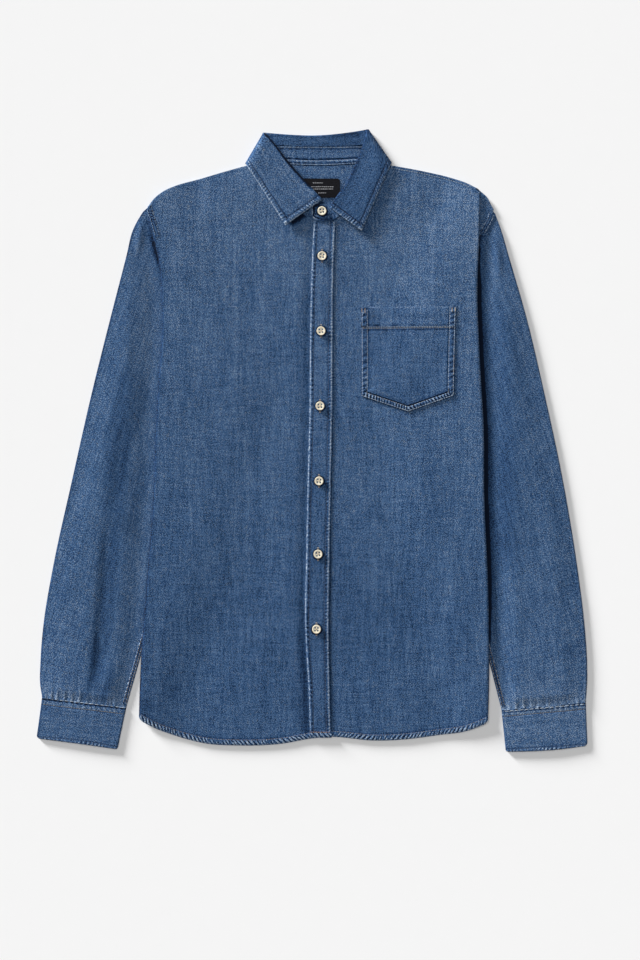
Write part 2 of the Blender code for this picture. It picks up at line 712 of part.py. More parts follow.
def make_button(number, x, y):
    """One flat button with a raised rim, turned about its own axis."""
    under = STAND[-3][4] + HALF if number == 1 else front_z(x, y) + LAYER + HALF
    profile = (
        (0.0, 0.0),
        (BUTTON_RADIUS - BUTTON_BEVEL, 0.0),
        (BUTTON_RADIUS, BUTTON_BEVEL),
        (BUTTON_RADIUS, BUTTON_RIM - BUTTON_BEVEL),
        (BUTTON_RADIUS - BUTTON_BEVEL, BUTTON_RIM),
        (BUTTON_DISH_RADIUS, BUTTON_DISH),
        (0.0, BUTTON_DISH),
    )
    name = f"button_{number}"
    mesh = bpy.data.meshes.new(name)
    points = [(radius * MM, 0.0, height * MM) for radius, height in reversed(profile)]
    mesh.from_pydata(points, [(i, i + 1) for i in range(len(points) - 1)], [])
    piece = bpy.data.objects.new(name, mesh)
    shirt.objects.link(piece)
    piece.location = ((x + MIDDLE_X) * MM, y * MM, (under + GAP + BUTTON_SEAT) * MM)
    turned = piece.modifiers.new("turned", "SCREW")
    turned.steps = turned.render_steps = BUTTON_SIDES
    turned.use_merge_vertices = True
    turned.merge_threshold = 0.00005
    paint(piece, BUTTON_CREAM)
    return piece


for left_over in list(bpy.data.objects):
    bpy.data.objects.remove(left_over, do_unlink=True)

shirt = bpy.data.collections.new("denim_shirt")
bpy.context.scene.collection.children.link(shirt)

make_back()
make_yoke()
for wearer_side in (RIGHT, LEFT):
    make_front(wearer_side)
    make_sleeve(wearer_side)
    make_cuff(wearer_side)
make_placket()
make_pocket()
make_label()
make_stand()
make_collar()
for place, (button_x, button_y) in enumerate(BUTTONS, start=1):
    make_button(place, button_x, button_y)
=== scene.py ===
import math

import bmesh
import bpy
import numpy as np
from bpy.props import FloatProperty, FloatVectorProperty, IntProperty, PointerProperty
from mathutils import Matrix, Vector


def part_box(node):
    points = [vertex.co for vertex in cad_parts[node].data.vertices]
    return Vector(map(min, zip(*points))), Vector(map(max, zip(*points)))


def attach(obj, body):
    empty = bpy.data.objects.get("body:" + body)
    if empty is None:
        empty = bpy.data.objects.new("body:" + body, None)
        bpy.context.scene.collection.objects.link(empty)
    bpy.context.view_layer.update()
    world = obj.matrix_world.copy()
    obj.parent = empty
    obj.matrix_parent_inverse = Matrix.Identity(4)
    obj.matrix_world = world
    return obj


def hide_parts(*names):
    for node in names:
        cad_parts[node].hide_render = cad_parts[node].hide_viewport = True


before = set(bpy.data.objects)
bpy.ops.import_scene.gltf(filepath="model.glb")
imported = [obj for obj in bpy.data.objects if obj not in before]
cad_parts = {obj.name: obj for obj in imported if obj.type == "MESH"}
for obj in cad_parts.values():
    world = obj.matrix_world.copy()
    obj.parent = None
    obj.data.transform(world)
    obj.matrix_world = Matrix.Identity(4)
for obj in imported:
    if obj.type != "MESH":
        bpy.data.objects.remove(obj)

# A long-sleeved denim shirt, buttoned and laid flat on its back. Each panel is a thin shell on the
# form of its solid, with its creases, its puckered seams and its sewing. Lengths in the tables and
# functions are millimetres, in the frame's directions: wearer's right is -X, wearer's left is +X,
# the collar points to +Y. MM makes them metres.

bl_info = {
    "name": "Denim shirt",
    "version": (1, 0, 0),
    "blender": (4, 5, 0),
    "location": "View3D > Sidebar > Shirt",
    "description": "Makes the cloth, the sewing and the buttons of a denim shirt that lies flat",
    "category": "Add Mesh",
}

MM = 0.001
RIGHT, LEFT = -1, 1  # the wearer's sides, which are also the signs of X
SIDE_NAMES = {RIGHT: "right", LEFT: "left"}
MIDDLE_X = 1.9  # the tables' X starts at the neck, and this puts the outline's middle on 0

# Layers, as in the solids
SOLID_WALL = 1.1
GAP = 0.3
LAYER = SOLID_WALL + GAP
HALF = SOLID_WALL / 2
CUFF_SOLID_WALL = 1.6
SLEEVE_STACK = 2 * LAYER
COLLAR_STACK = LAYER
STACK_MARGIN = 16.0
STACK_RISE = 70.0
COLLAR_BACK = (6.0, 96.0)
COLLAR_BACK_Y = 350.0

# Loft of the fronts over the back
LOFT_INSIDE = 1.1
LOFT_SIDE = 2.2
LOFT_TOP = 1.0
LOFT_HEM = 0.5
LOFT_EASE = 75.0
LOFT_TOP_Y = 250.0
LOFT_HEM_Y = -392.0
HEM_SHARE = 0.8
HOOK = 8.0
HOOK_START = 0.45
HOOK_DROP = 6.0
HOOK_EASE = 22.0
SHOULDER_DROP = 5.0
SHOULDER_MIDDLE = 5.0
SHOULDER_ROLL_START = 70.0
SHOULDER_ROLL_EASE = 22.0
SHOULDER_ROLL_END = 205.0
SHOULDER_ROLL_FADE = 12.0
YOKE_SEAM_Y = 267.0
YOKE_SEAM_GAP = 1.0
YOKE_LIP = 0.5
BACK_HEM_LIFT = 2.0
BACK_CORNER_DROP = {RIGHT: 5.0, LEFT: 4.0}
SLEEVE_LAP = 4.0
SEAM_INSET = 0.8  # the fronts' shoulder edges stop this far inside the outline
SEAM_BEND = (3.5, 0.35)  # they bend down over the roll of the yoke: width, depth
PLACKET_DIP = (15.0, 1.25)  # the under front dips beside the placket: width, depth
HEM_CORNER = 6.0  # radius of the body's corners at the side folds
CUFF_CORNER = (4.5, 2.5)  # radius of a cuff's lower corners: outer, inner

# Slow waves in the fronts: length along X, length along Y, phase, height
WAVES = ((310.0, 420.0, 0.6, 0.22), (190.0, -260.0, 2.1, 0.16), (-140.0, 330.0, 4.0, 0.12))

# Side folds of the body, from the shoulder end to the hem: y, x
SIDE_FOLD = {
    RIGHT: (
        (303.6, -215.8), (284.1, -214.5), (260.7, -208.0), (234.7, -201.5), (182.7, -197.6),
        (130.7, -197.6), (78.7, -201.5), (26.7, -204.8), (-77.4, -208.7), (-181.3, -216.5),
        (-272.4, -223.6), (-362.1, -227.5),
    ),
    LEFT: (
        (323.1, 217.1), (273.7, 215.8), (182.7, 213.2), (130.7, 215.2), (78.7, 217.8),
        (26.7, 221.0), (-77.4, 222.3), (-181.3, 226.8), (-272.4, 228.4), (-365.9, 227.5),
    ),
}

# Hem of each front, from the side fold to the button stand: x, y
HEM = {
    RIGHT: (
        (-227.5, -362.1), (-204.8, -373.8), (-184.0, -381.6), (-163.2, -388.1), (-142.3, -393.0),
        (-100.8, -395.9), (-38.4, -393.2), (-7.2, -387.5), (20.2, -384.5),
    ),
    LEFT: (
        (227.5, -365.9), (200.8, -376.4), (159.2, -382.9), (117.7, -388.1), (76.0, -389.4),
        (34.5, -385.2), (22.8, -384.5),
    ),
}

# Shoulder edge, from the shoulder end to the side of the neck: x, y
SHOULDER = {
    RIGHT: (
        (-215.2, 303.6), (-206.1, 315.2), (-191.8, 325.7), (-180.1, 330.9), (-145.0, 341.2),
        (-115.0, 350.0), (-92.0, 356.5), (-74.0, 361.0),
    ),
    LEFT: (
        (217.1, 323.1), (206.1, 330.9), (180.1, 341.2), (142.3, 350.5), (104.0, 357.5),
        (84.0, 361.0),
    ),
}

# Front neckline, from the shoulder seam to the centre: x, y
FRONT_NECK = {
    RIGHT: (
        (-73.0, 355.5), (-61.8, 346.0), (-47.5, 326.5), (-30.6, 307.3), (-12.3, 293.0),
        (20.2, 283.3),
    ),
    LEFT: (
        (83.0, 355.5), (72.2, 344.5), (59.1, 324.0), (43.6, 304.5), (33.0, 290.0),
        (22.8, 283.3),
    ),
}
BACK_NECK = ((-74.0, 361.0), (-40.0, 359.2), (5.0, 358.4), (50.0, 359.2), (84.0, 361.0))
SHOULDER_END = ((217.1, 323.1), (225.6, 315.2), (230.8, 304.9), (234.0, 300.0))

# The sleeve seams in plan: shoulder point, underarm point, inner end of the cuff seam
SLEEVE_SEAMS = {
    RIGHT: ((-217.8, 302.2), (-124.2, 70.9), (-243.0, -346.0)),
    LEFT: ((234.0, 300.3), (138.5, 63.1), (243.8, -348.8)),
}

# Top fold of each sleeve, from the shoulder to the cuff seam: x, y
SLEEVE_FOLD = {
    RIGHT: (
        (-218.4, 302.2), (-226.8, 289.2), (-234.7, 273.7), (-242.5, 242.5), (-264.6, 156.7),
        (-287.9, 63.1), (-312.7, -46.1), (-339.9, -171.0), (-350.4, -233.3), (-354.9, -285.4),
        (-355.3, -317.9), (-352.9, -333.0),
    ),
    LEFT: (
        (234.0, 300.3), (238.2, 289.2), (243.8, 273.7), (252.9, 242.5), (277.6, 156.7),
        (299.7, 63.1), (323.1, -46.1), (343.9, -171.0), (351.7, -233.3), (355.6, -285.4),
        (355.6, -317.9), (354.0, -339.0),
    ),
}
SLEEVE_CROWN = 4.0
SLEEVE_EDGE = 1.8
SLEEVE_EASE = 35.0
SLEEVE_LEVEL = 7.0
SLEEVE_SEAM_SHARE = 0.2
SLEEVE_TUCK = 14.0  # the sleeve comes down into its cuff over this length
SLEEVE_FINE_FROM = 0.93  # share of the sleeve's length where its rows stand closer, for the gathers

# Creases of the sleeves: x, y at the top, x, y at the foot, width of the flank towards the
# wearer's right, width of the flank towards the wearer's left, depth
SLEEVE_CREASES = {
    RIGHT: (
        (-238.0, 40.0, -262.0, -110.0, 13.0, 34.0, 1.3),
        (-262.0, -90.0, -284.0, -318.0, 11.0, 30.0, 2.0),
        (-228.0, 262.0, -234.0, 60.0, 7.0, 16.0, 0.8),
        (-276.0, -262.0, -292.0, -336.0, 5.0, 9.0, 0.9),
        (-322.0, -190.0, -330.0, -320.0, 10.0, 14.0, 0.5),
        (-296.0, -20.0, -318.0, -150.0, 12.0, 15.0, 0.4),
    ),
    LEFT: (
        (237.0, 270.0, 247.0, 150.0, 5.0, 12.0, 0.8),
        (268.0, 120.0, 300.0, -90.0, 14.0, 22.0, 0.6),
        (286.0, -60.0, 322.0, -250.0, 12.0, 20.0, 0.8),
        (262.0, -90.0, 282.0, -300.0, 10.0, 22.0, 0.5),
        (330.0, -60.0, 342.0, -220.0, 8.0, 10.0, 0.4),
    ),
}

# Soft ridges of the sleeves, in the same columns
SLEEVE_RIDGES = {
    RIGHT: (
        (-222.0, 296.0, -229.5, 236.0, 4.5, 5.0, 2.0),
        (-252.0, 20.0, -274.0, -120.0, 20.0, 10.0, 0.7),
        (-276.0, -110.0, -292.0, -330.0, 14.0, 7.0, 0.9),
    ),
    LEFT: (
        (235.5, 282.0, 244.0, 196.0, 5.0, 5.5, 1.9),
        (296.0, -60.0, 318.0, -250.0, 16.0, 12.0, 0.5),
    ),
}

# Soft creases of the fronts, in the same columns
FRONT_CREASES = (
    (-78.0, 342.0, -122.0, 346.0, 14.0, 14.0, 0.5),
    (-105.0, 330.0, -188.0, 318.0, 16.0, 16.0, 0.4),
    (96.0, 336.0, 134.0, 326.0, 13.0, 13.0, 0.6),
    (78.0, 318.0, 112.0, 308.0, 12.0, 12.0, 0.5),
    (-60.0, -90.0, -96.0, -250.0, 26.0, 34.0, 0.5),
    (-130.0, 60.0, -112.0, -120.0, 20.0, 26.0, 0.3),
    (74.0, 240.0, 92.0, 150.0, 18.0, 22.0, 0.4),
    (150.0, -300.0, 190.0, -372.0, 22.0, 26.0, 0.7),
    (96.0, 20.0, 120.0, -260.0, 24.0, 22.0, 0.3),
)

# Cuffs: outer and inner end of the upper edge, outer and inner end of the lower edge
CUFF = {
    RIGHT: ((-353.0, -333.8), (-243.2, -346.8), (-360.2, -390.8), (-254.6, -402.0)),
    LEFT: ((354.0, -339.8), (244.0, -349.6), (356.3, -396.2), (249.7, -404.0)),
}
# How far a cuff's foot lies above its straight line: at the outer end, the inner end, the middle
CUFF_FOOT = {RIGHT: (4.2, 1.0, 0.3), LEFT: (0.0, 0.0, -2.4)}
CUFF_EDGE = 0.2
CUFF_CROWN = 1.2
CUFF_DEPTH = 62.0
CUFF_SPACING = ((0.0, 0.44, 0.74, 1.0), (0.0, 0.24, 0.85, 1.0))  # share of the rows, share of the depth

# Placket: y, x of its free edge, x of its sewn edge
PLACKET = (
    (284.3, 0.3, 29.2), (221.7, -2.5, 26.9), (148.8, -4.3, 26.0), (39.6, -5.2, 25.4),
    (-63.1, -7.9, 23.4), (-163.2, -9.8, 21.6), (-233.3, -11.1, 20.8), (-329.6, -6.1, 22.0),
    (-385.6, -4.5, 23.5),
)

POCKET_TOP = ((61.8, 173.0), (185.2, 174.2))
POCKET_FOOT = ((62.3, 57.5), (122.9, 37.1), (182.4, 58.1))
POCKET_HEM = 27.6
POCKET_SPACING = ((0.0, 0.24, 0.7, 1.0), (0.0, 0.13, 0.76, 1.0))  # share of the rows, of the height
LABEL_SPAN = ((-17.0, 34.5), (315.4, 340.4))

# Buttons, from the collar stand down: x, y
BUTTONS = (
    (11.1, 298.0), (11.1, 239.8), (9.8, 142.3), (8.5, 44.9), (7.2, -52.6), (5.9, -147.6),
    (3.9, -245.1),
)
BUTTON_RIM = 2.6

# Collar stand as a flattened ring, from its under end round the back to its buttoned end:
# lower edge x and y, upper edge x and y, height over the floor
STAND = (
    (-15.5, 298.6, -5.0, 309.5, 5.2), (-29.8, 308.9, -20.5, 334.0, 5.2),
    (-46.7, 327.9, -38.5, 356.0, 5.2), (-60.8, 347.3, -52.5, 375.0, 5.2),
    (-70.0, 359.5, -60.0, 384.0, 5.0), (-72.4, 362.0, -62.5, 385.5, 3.8),
    (-70.0, 361.4, -60.0, 384.0, 2.5), (-40.0, 358.6, -38.0, 383.0, 2.3),
    (5.0, 356.8, 5.0, 382.6, 2.3), (50.0, 358.6, 49.0, 383.0, 2.3),
    (79.0, 361.4, 70.0, 385.0, 2.5), (81.0, 363.4, 72.5, 386.5, 3.8),
    (79.0, 359.5, 70.0, 384.0, 5.0), (71.2, 345.6, 64.0, 366.0, 5.2),
    (58.3, 325.2, 55.0, 346.0, 5.2), (43.6, 306.6, 44.0, 327.0, 5.6),
    (36.0, 294.5, 32.0, 311.5, 6.2), (25.4, 286.6, 23.0, 309.4, 6.2),
    (6.0, 286.0, 6.0, 309.4, 6.2), (0.2, 288.6, 0.2, 306.6, 6.2), (-2.2, 293.6, -2.2, 301.6, 6.2),
)

# Collar, from the point on the wearer's right round the back to the other point: seam x and
# y, roll x and y, outer edge x and y, heights of the seam, the roll and the edge, the turn
# that the outside faces (90 up, 270 down), and the radius of the roll
COLLAR = (
    (-2.0, 310.6, 11.4, 312.4, -36.4, 279.5, 5.2, 6.7, 6.6, 90.0, 1.5),
    (-19.6, 335.0, -13.2, 339.4, -49.5, 299.8, 5.2, 6.7, 6.4, 90.0, 1.5),
    (-38.2, 357.0, -34.8, 363.6, -62.6, 320.2, 5.2, 6.7, 6.4, 90.0, 1.5),
    (-52.2, 376.0, -51.6, 385.6, -75.8, 340.6, 5.2, 6.7, 6.4, 90.0, 1.5),
    (-59.7, 385.0, -61.8, 397.0, -84.0, 353.2, 5.0, 6.5, 6.2, 100.0, 1.5),
    (-61.6, 386.0, -63.8, 398.8, -87.4, 358.6, 4.6, 5.2, 5.2, 140.0, 1.4),
    (-62.4, 386.5, -64.6, 399.4, -88.2, 359.8, 3.8, 3.8, 3.6, 180.0, 1.3),
    (-61.6, 386.0, -63.6, 399.4, -87.0, 360.0, 3.0, 2.4, 1.4, 225.0, 1.1),
    (-59.7, 385.0, -60.4, 399.2, -82.0, 359.0, 2.5, 1.6, 0.7, 262.0, 0.9),
    (-38.0, 383.3, -38.0, 397.4, -56.0, 354.0, 2.3, 1.45, 0.6, 270.0, 0.9),
    (5.0, 382.8, 5.0, 396.0, 5.0, 350.0, 2.3, 1.45, 0.6, 270.0, 0.9),
    (49.0, 383.3, 49.0, 400.2, 66.0, 354.0, 2.3, 1.45, 0.6, 270.0, 0.9),
    (69.7, 386.0, 68.0, 403.4, 94.0, 360.0, 2.5, 1.6, 0.7, 278.0, 0.9),
    (71.6, 387.0, 70.0, 403.8, 99.6, 361.4, 3.0, 2.4, 1.4, 315.0, 1.1),
    (72.4, 387.5, 70.8, 403.6, 101.0, 361.0, 3.8, 3.8, 3.6, 360.0, 1.3),
    (71.6, 387.0, 70.2, 402.6, 100.2, 358.6, 4.6, 5.2, 5.2, 400.0, 1.4),
    (69.7, 385.0, 67.6, 393.8, 96.8, 350.8, 5.0, 6.5, 6.2, 440.0, 1.5),
    (63.7, 367.0, 60.0, 370.8, 88.0, 331.0, 5.2, 6.7, 6.4, 450.0, 1.5),
    (54.7, 347.0, 51.0, 350.2, 79.4, 311.2, 5.2, 6.7, 6.4, 450.0, 1.5),
    (43.7, 328.0, 41.0, 331.0, 70.8, 291.6, 5.6, 7.1, 6.4, 450.0, 1.5),
    (34.0, 313.0, 30.2, 316.4, 66.6, 281.6, 6.0, 7.5, 6.5, 450.0, 1.5),
    (26.5, 298.4, 21.6, 302.2, 62.4, 272.4, 6.2, 7.7, 6.6, 450.0, 1.5),
)
LEAF_LIFT = 2.4  # the outer edges of the two leaves stand this much further off the fronts

# Painted shade in the valleys of the sleeve on the wearer's right: the line, half its width, depth
SLEEVE_SHADES = (
    (
        ((-246.0, 78.0), (-254.0, 14.0), (-259.0, -104.0), (-266.0, -180.0), (-273.0, -260.0),
         (-281.0, -318.0)),
        13.0, 0.09,
    ),
    (((-238.0, 12.0), (-243.0, -20.0), (-251.0, -66.0)), 3.2, 0.1),
    (((-256.0, -130.0), (-263.0, -190.0), (-276.0, -262.0), (-284.0, -306.0)), 5.0, 0.02),
    (((-283.0, -258.0), (-289.0, -312.0), (-297.0, -336.0)), 4.0, 0.12),
    (((-262.0, -290.0), (-266.0, -318.0), (-277.0, -340.0)), 4.0, 0.1),
)

# Felled strips of the armhole seams where they show at the shoulder ends, the middle line: x, y
ARMHOLE_STRIP = {
    RIGHT: ((-213.5, 303.0), (-210.5, 293.0), (-206.0, 278.0), (-202.0, 264.0)),
    LEFT: ((231.2, 294.0), (228.6, 286.5), (224.0, 278.0), (218.0, 268.0)),
}
ARMHOLE_SHEAR = {RIGHT: 0.85, LEFT: 0.0}  # slant of the strip's upper end

# Where the front takes a painted shadow under the edge of its collar leaf: x, y
UNDER_LEAF = ((-27.0, 283.0), (-16.0, 290.5), (-4.0, 299.0), (3.0, 303.5))

# Where the other front lies in half shade beside its collar leaf: x, y
BESIDE_LEAF = ((68.0, 270.0), (77.0, 290.0), (87.0, 311.0), (97.0, 334.0))

# Rows of stitching: distance inside the edge that each runs along
HEM_ROW = 1.4
SHOULDER_ROW = 3.4
SEAM_STRIP_ROW = 1.7
CUFF_SEAM_ROWS = {RIGHT: (0.9, 9.0), LEFT: (2.9, 9.4)}
CUFF_FOOT_ROW = 4.4
PLACKET_EDGE_ROW = 2.6
PLACKET_FREE_ROW = 5.2
PLACKET_SEWN_ROW = 6.6
POCKET_EDGE_ROW = 1.6
POCKET_SIDE_ROW = 8.4
POCKET_FOOT_ROW = 7.0
POCKET_TAN_ROW = (38, 60)  # first and last row of the grid where the outer row's thread is tan
COLLAR_ROW = 6.4
STAND_ROWS = (("end", 6.8), ("start", 2.0), ("end", 1.8))

# Worn and shaded lines along edges: distance inside the edge, half width, how much paler
POCKET_LINES = ((1.6, 0.7, 0.3), (3.0, 0.8, -0.16))
POCKET_SIDE_LINES = ((8.4, 0.7, 0.22), (9.6, 0.8, -0.2))
POCKET_HEM_LINES = ((0.4, 0.8, 0.12), (27.6, 0.8, 0.26), (29.2, 0.9, -0.32))
STAND_LOW_LINES = (
    (0.2, 0.9, -0.6), (1.8, 0.9, 0.2), (3.4, 0.9, -0.42), (6.6, 1.1, 0.12), (8.8, 1.1, -0.46),
)
STAND_HIGH_LINES = ((2.0, 0.9, 0.24), (3.8, 0.9, -0.36))
STAND_END_LINES = ((0.9, 0.8, 0.6), (2.6, 1.1, -0.4))
# Painted shadow on the stand under the edge of the collar leaf: x, y
STAND_UNDER_LEAF = ((-8.0, 297.0), (2.0, 303.6), (13.0, 311.0))
# Painted shadow ring round each button
BUTTON_SHADE = (0.3, -0.3, 6.3, 1.3, 0.42)  # dark ring: middle's x and y, radius, half width, depth

# Plain lines of the label: x, y, length
LABEL_LINES = ((-1.0, 334.5, 16.0), (-6.0, 329.5, 33.0), (-4.0, 326.6, 30.0), (6.0, 321.5, 12.0))

# Grids: cells along, cells across
FRONT_CELLS = (230, 84)
BACK_CELLS = (96, 64)
YOKE_CELLS = (190, 30)
SLEEVE_CELLS = (112, 46, 88)  # along, at the cuff, across
CUFF_CELLS = (54, 120)
PLACKET_CELLS = (560, 34)
POCKET_CELLS = (120, 190)
COLLAR_CELLS = (340, 60)
STAND_CELLS = (270, 36)
ROLL_CELLS = 10
FOLD_CELLS = 8
THREAD_SIDES = 5

# Camera, floor and light
PICTURE_SCALE = 1.3  # millimetres on the floor for each pixel of the picture
PICTURE_HEIGHT = 960
CAMERA_POINT = (10.35, -51.35)
CAMERA_HEIGHT = 5000.0
SENSOR = 36.0
WINDOW_ELEVATION = 11.5
CEILING_ELEVATION = 80.0
LIGHT_AZIMUTH = 135.0


def smooth(value):
    """Eases 0 to 1 for a value that runs from 0 to 1."""
    value = np.clip(value, 0.0, 1.0)
    return value * value * (3.0 - 2.0 * value)


def hump(distance, width):
    """A soft hump, 1 in its middle."""
    return np.exp(-np.square(distance / width))


def curve_at(keys, values, at):
    """Reads a smooth curve through values that stand at rising keys."""
    keys = np.asarray(keys, float)
    values = np.asarray(values, float)
    at = np.asarray(at, float)
    slope = np.gradient(values, keys, axis=0)
    i = np.clip(np.searchsorted(keys, at, side="right") - 1, 0, len(keys) - 2)
    width = keys[i + 1] - keys[i]
    t = np.clip((at - keys[i]) / width, 0.0, 1.0)
    if values.ndim == 2:
        t, width = t[..., None], width[..., None]
    rise = 3.0 * t**2 - 2.0 * t**3
    leave = (t**3 - 2.0 * t**2 + t) * width
    arrive = (t**3 - t**2) * width
    return values[i] * (1.0 - rise) + values[i + 1] * rise + slope[i] * leave + slope[i + 1] * arrive


def column(table, key, value, wanted=1):
    """Reads a table smoothly at a height between two of its rows."""
    rows = sorted(table, key=lambda row: row[key])
    return curve_at([row[key] for row in rows], [row[wanted] for row in rows], value)


def lengths(points):
    """Length reached at each point of a line."""
    steps = np.linalg.norm(np.diff(points, axis=0), axis=1)
    return np.concatenate([[0.0], np.cumsum(steps)])


def spaced(points, shares):
    """Points on a line. shares is their count less one, or where they stand from 0 to 1."""
    points = np.asarray(points, float)
    reached = lengths(points)
    if np.isscalar(shares):
        shares = np.linspace(0.0, 1.0, shares + 1)
    wanted = np.asarray(shares) * reached[-1]
    return np.stack([np.interp(wanted, reached, axis) for axis in points.T], axis=1)


def through(points, per_span=12):
    """A smooth line through a short list of points."""
    points = np.asarray(points, float)
    reached = lengths(points)
    count = per_span * (len(points) - 1) + 1
    at = np.interp(np.linspace(0, len(points) - 1, count), np.arange(len(points)), reached)
    return curve_at(reached, points, at)


def patch(foot, top, start, end):
    """Fills four edges with a grid. foot and top run from start to end, rows go upwards."""
    rows, columns = len(start), len(foot)
    up = np.linspace(0.0, 1.0, rows)[:, None, None]
    over = np.linspace(0.0, 1.0, columns)[None, :, None]
    between_rows = (1 - up) * foot[None] + up * top[None]
    between_columns = (1 - over) * start[:, None] + over * end[:, None]
    corners = (1 - up) * ((1 - over) * foot[0] + over * foot[-1]) + up * (
        (1 - over) * top[0] + over * top[-1]
    )
    return between_rows + between_columns - corners


def nearest(x, y, line):
    """Distance of points from a line in plan, and how far along it they lie."""
    line = np.asarray(line, float)
    best = np.full(np.shape(x), 1e9)
    along = np.zeros(np.shape(x))
    reached = lengths(line)
    for i in range(len(line) - 1):
        step = line[i + 1] - line[i]
        length = np.hypot(*step)
        share = ((x - line[i, 0]) * step[0] + (y - line[i, 1]) * step[1]) / length**2
        share = np.clip(share, 0.0, 1.0)
        away = np.hypot(x - line[i, 0] - share * step[0], y - line[i, 1] - share * step[1])
        along = np.where(away < best, reached[i] + share * length, along)
        best = np.minimum(best, away)
    return best, along


def directions(line):
    """Unit steps along a line in plan."""
    ahead = np.gradient(line, axis=0)
    return ahead / np.linalg.norm(ahead, axis=1, keepdims=True)


def sections(table, plan, allowance, count):
    """Reads a table's rows at even steps. plan holds the columns that say how far apart they are."""
    table = np.array(table)
    steps = np.linalg.norm(np.diff(table[:, plan], axis=0), axis=1) / 2 + allowance
    reached = np.concatenate([[0.0], np.cumsum(steps)])
    return curve_at(reached, table, np.linspace(0.0, reached[-1], count + 1))


def side_x(side, y):
    """X of the side fold at a height y."""
    return column(SIDE_FOLD[side], 0, y)


def inside_fold(side, x, y):
    """Distance of a point from the body's side fold, positive on the body's side of it."""
    return (side_x(side, y) - x) * side


def past_line(start, end, side, x, y):
    """Distance of a point from a sleeve seam, positive on the body's side of it."""
    along = np.subtract(end, start)
    normal = np.array([along[1], -along[0]]) / np.hypot(*along)
    if normal[0] * side > 0:
        normal = -normal
    return (x - start[0]) * normal[0] + (y - start[1]) * normal[1]


def past_sleeve(side, x, y):
    """Distance of a point from the flattened sleeve, positive outside it."""
    shoulder, underarm, wrist = SLEEVE_SEAMS[side]
    return np.maximum(
        past_line(shoulder, underarm, side, x, y), past_line(underarm, wrist, side, x, y)
    )


def stack_height(height, distance):
    """Height of the cloth that lies over something, at a distance from its edge."""
    return height * (1.0 - smooth((distance - STACK_MARGIN) / STACK_RISE))


def body_floor(x, y):
    """Underside of the body: over the sleeves and the collar's back, else on the floor."""
    past_collar = np.maximum(np.abs(x - COLLAR_BACK[0]) - COLLAR_BACK[1], COLLAR_BACK_Y - y)
    floor = stack_height(COLLAR_STACK, past_collar)
    for side in (RIGHT, LEFT):
        floor = np.maximum(floor, stack_height(SLEEVE_STACK, past_sleeve(side, x, y)))
    return floor


def back_z(x, y):
    """Middle of the back's wall."""
    return body_floor(x, y) + HALF


def crease_depth(table, x, y):
    """How far the creases of a table pull the cloth down."""
    down = np.zeros(np.shape(x))
    for x0, y0, x1, y1, right_flank, left_flank, depth in table:
        length = math.hypot(x1 - x0, y1 - y0)
        along = ((x - x0) * (x1 - x0) + (y - y0) * (y1 - y0)) / length
        across = ((x - x0) * (y0 - y1) + (y - y0) * (x1 - x0)) / length
        width = np.where(across < 0, right_flank, left_flank)
        fade = min(length / 2, 45.0)
        ends = smooth(along / fade) * smooth((length - along) / fade)
        down = down + depth * hump(across, width) * ends
    return down


def front_z(x, y):
    """Middle of the fronts' wall."""
    inward = np.where(x < 0, inside_fold(RIGHT, x, y), inside_fold(LEFT, x, y))
    at_side = 1.0 - smooth(inward / LOFT_EASE)
    at_top = smooth((y - LOFT_TOP_Y) / LOFT_EASE) * (1.0 - at_side)
    at_hem = 1.0 - smooth((y - LOFT_HEM_Y) / LOFT_EASE)
    loft = LOFT_INSIDE + (LOFT_SIDE - LOFT_INSIDE) * at_side + (LOFT_TOP - LOFT_INSIDE) * at_top
    for length_x, length_y, phase, height in WAVES:
        turn = 2.0 * math.pi * (x / length_x + y / length_y) + phase
        loft = loft + height * np.sin(turn) * (1.0 - at_side) * (1.0 - at_top)
    loft = loft + (LOFT_HEM - loft) * at_hem * HEM_SHARE
    dip = crease_depth(FRONT_CREASES, x, y)
    return back_z(x, y) + LAYER + loft - np.minimum(dip, 0.8 * loft)


def sleeve_top_z(side, x, y):
    """Middle of a sleeve's upper wall: level under the body, crowned where it lies free."""
    beside_body = -inside_fold(side, x, y) - SLEEVE_LEVEL
    under = -past_sleeve(side, x, y)
    fold = column(SLEEVE_FOLD[side], 1, y, 0)
    from_fold = (fold - x) * side
    crown = SLEEVE_EDGE + (SLEEVE_CROWN - SLEEVE_EDGE) * smooth(from_fold / SLEEVE_EASE)
    crown = crown - crease_depth(SLEEVE_CREASES[side], x, y)
    ridge = crease_depth(SLEEVE_RIDGES[side], x, y) * smooth((beside_body + 3.0) / 5.0)
    free = smooth(beside_body / SLEEVE_EASE) * smooth(SLEEVE_SEAM_SHARE + under / SLEEVE_EASE)
    return HALF + LAYER + np.maximum(crown, 0.3) * free + ridge


def lift(plan, height):
    """Adds heights to a grid of plan points."""
    return np.dstack([plan, height(plan[..., 0], plan[..., 1])])


def puckers(along, period, phase):
    """Uneven puckers along a seam, between -1 and 1."""
    drift = 1.5 * np.sin(along / (3.7 * period) + phase)
    drift = drift + np.sin(along / (1.3 * period) + 2.3 * phase)
    swell = 0.62 + 0.38 * np.sin(along / (1.9 * period) + 1.7 * phase)
    return swell * np.sin(2.0 * math.pi * along / period + drift)


def broken(along, period, phase, share, swing, least=0.0):
    """How much of a worn or shaded line shows at each place along it."""
    return np.clip(share + swing * puckers(along, period, phase), least, 1.0)


def lines_at(inside, rows):
    """Fade of the worn and shaded lines of a table along an edge."""
    return sum(paler * hump(inside - place, width) for place, width, paler in rows)


def button_shade(x, y, button):
    """Painted shadow ring that a button's rim throws on the cloth round it."""
    over, up, radius, width, depth = BUTTON_SHADE
    away = np.hypot(x - button[0] - over, y - button[1] - up)
    return -depth * hump(away - radius, width)


def cuff_gathers(place, side):
    """Gathers of a sleeve along its cuff's seam, about 0."""
    return puckers(place, 9.5, 0.7 + side) + 0.5 * puckers(place, 5.3, 2.0 - side)


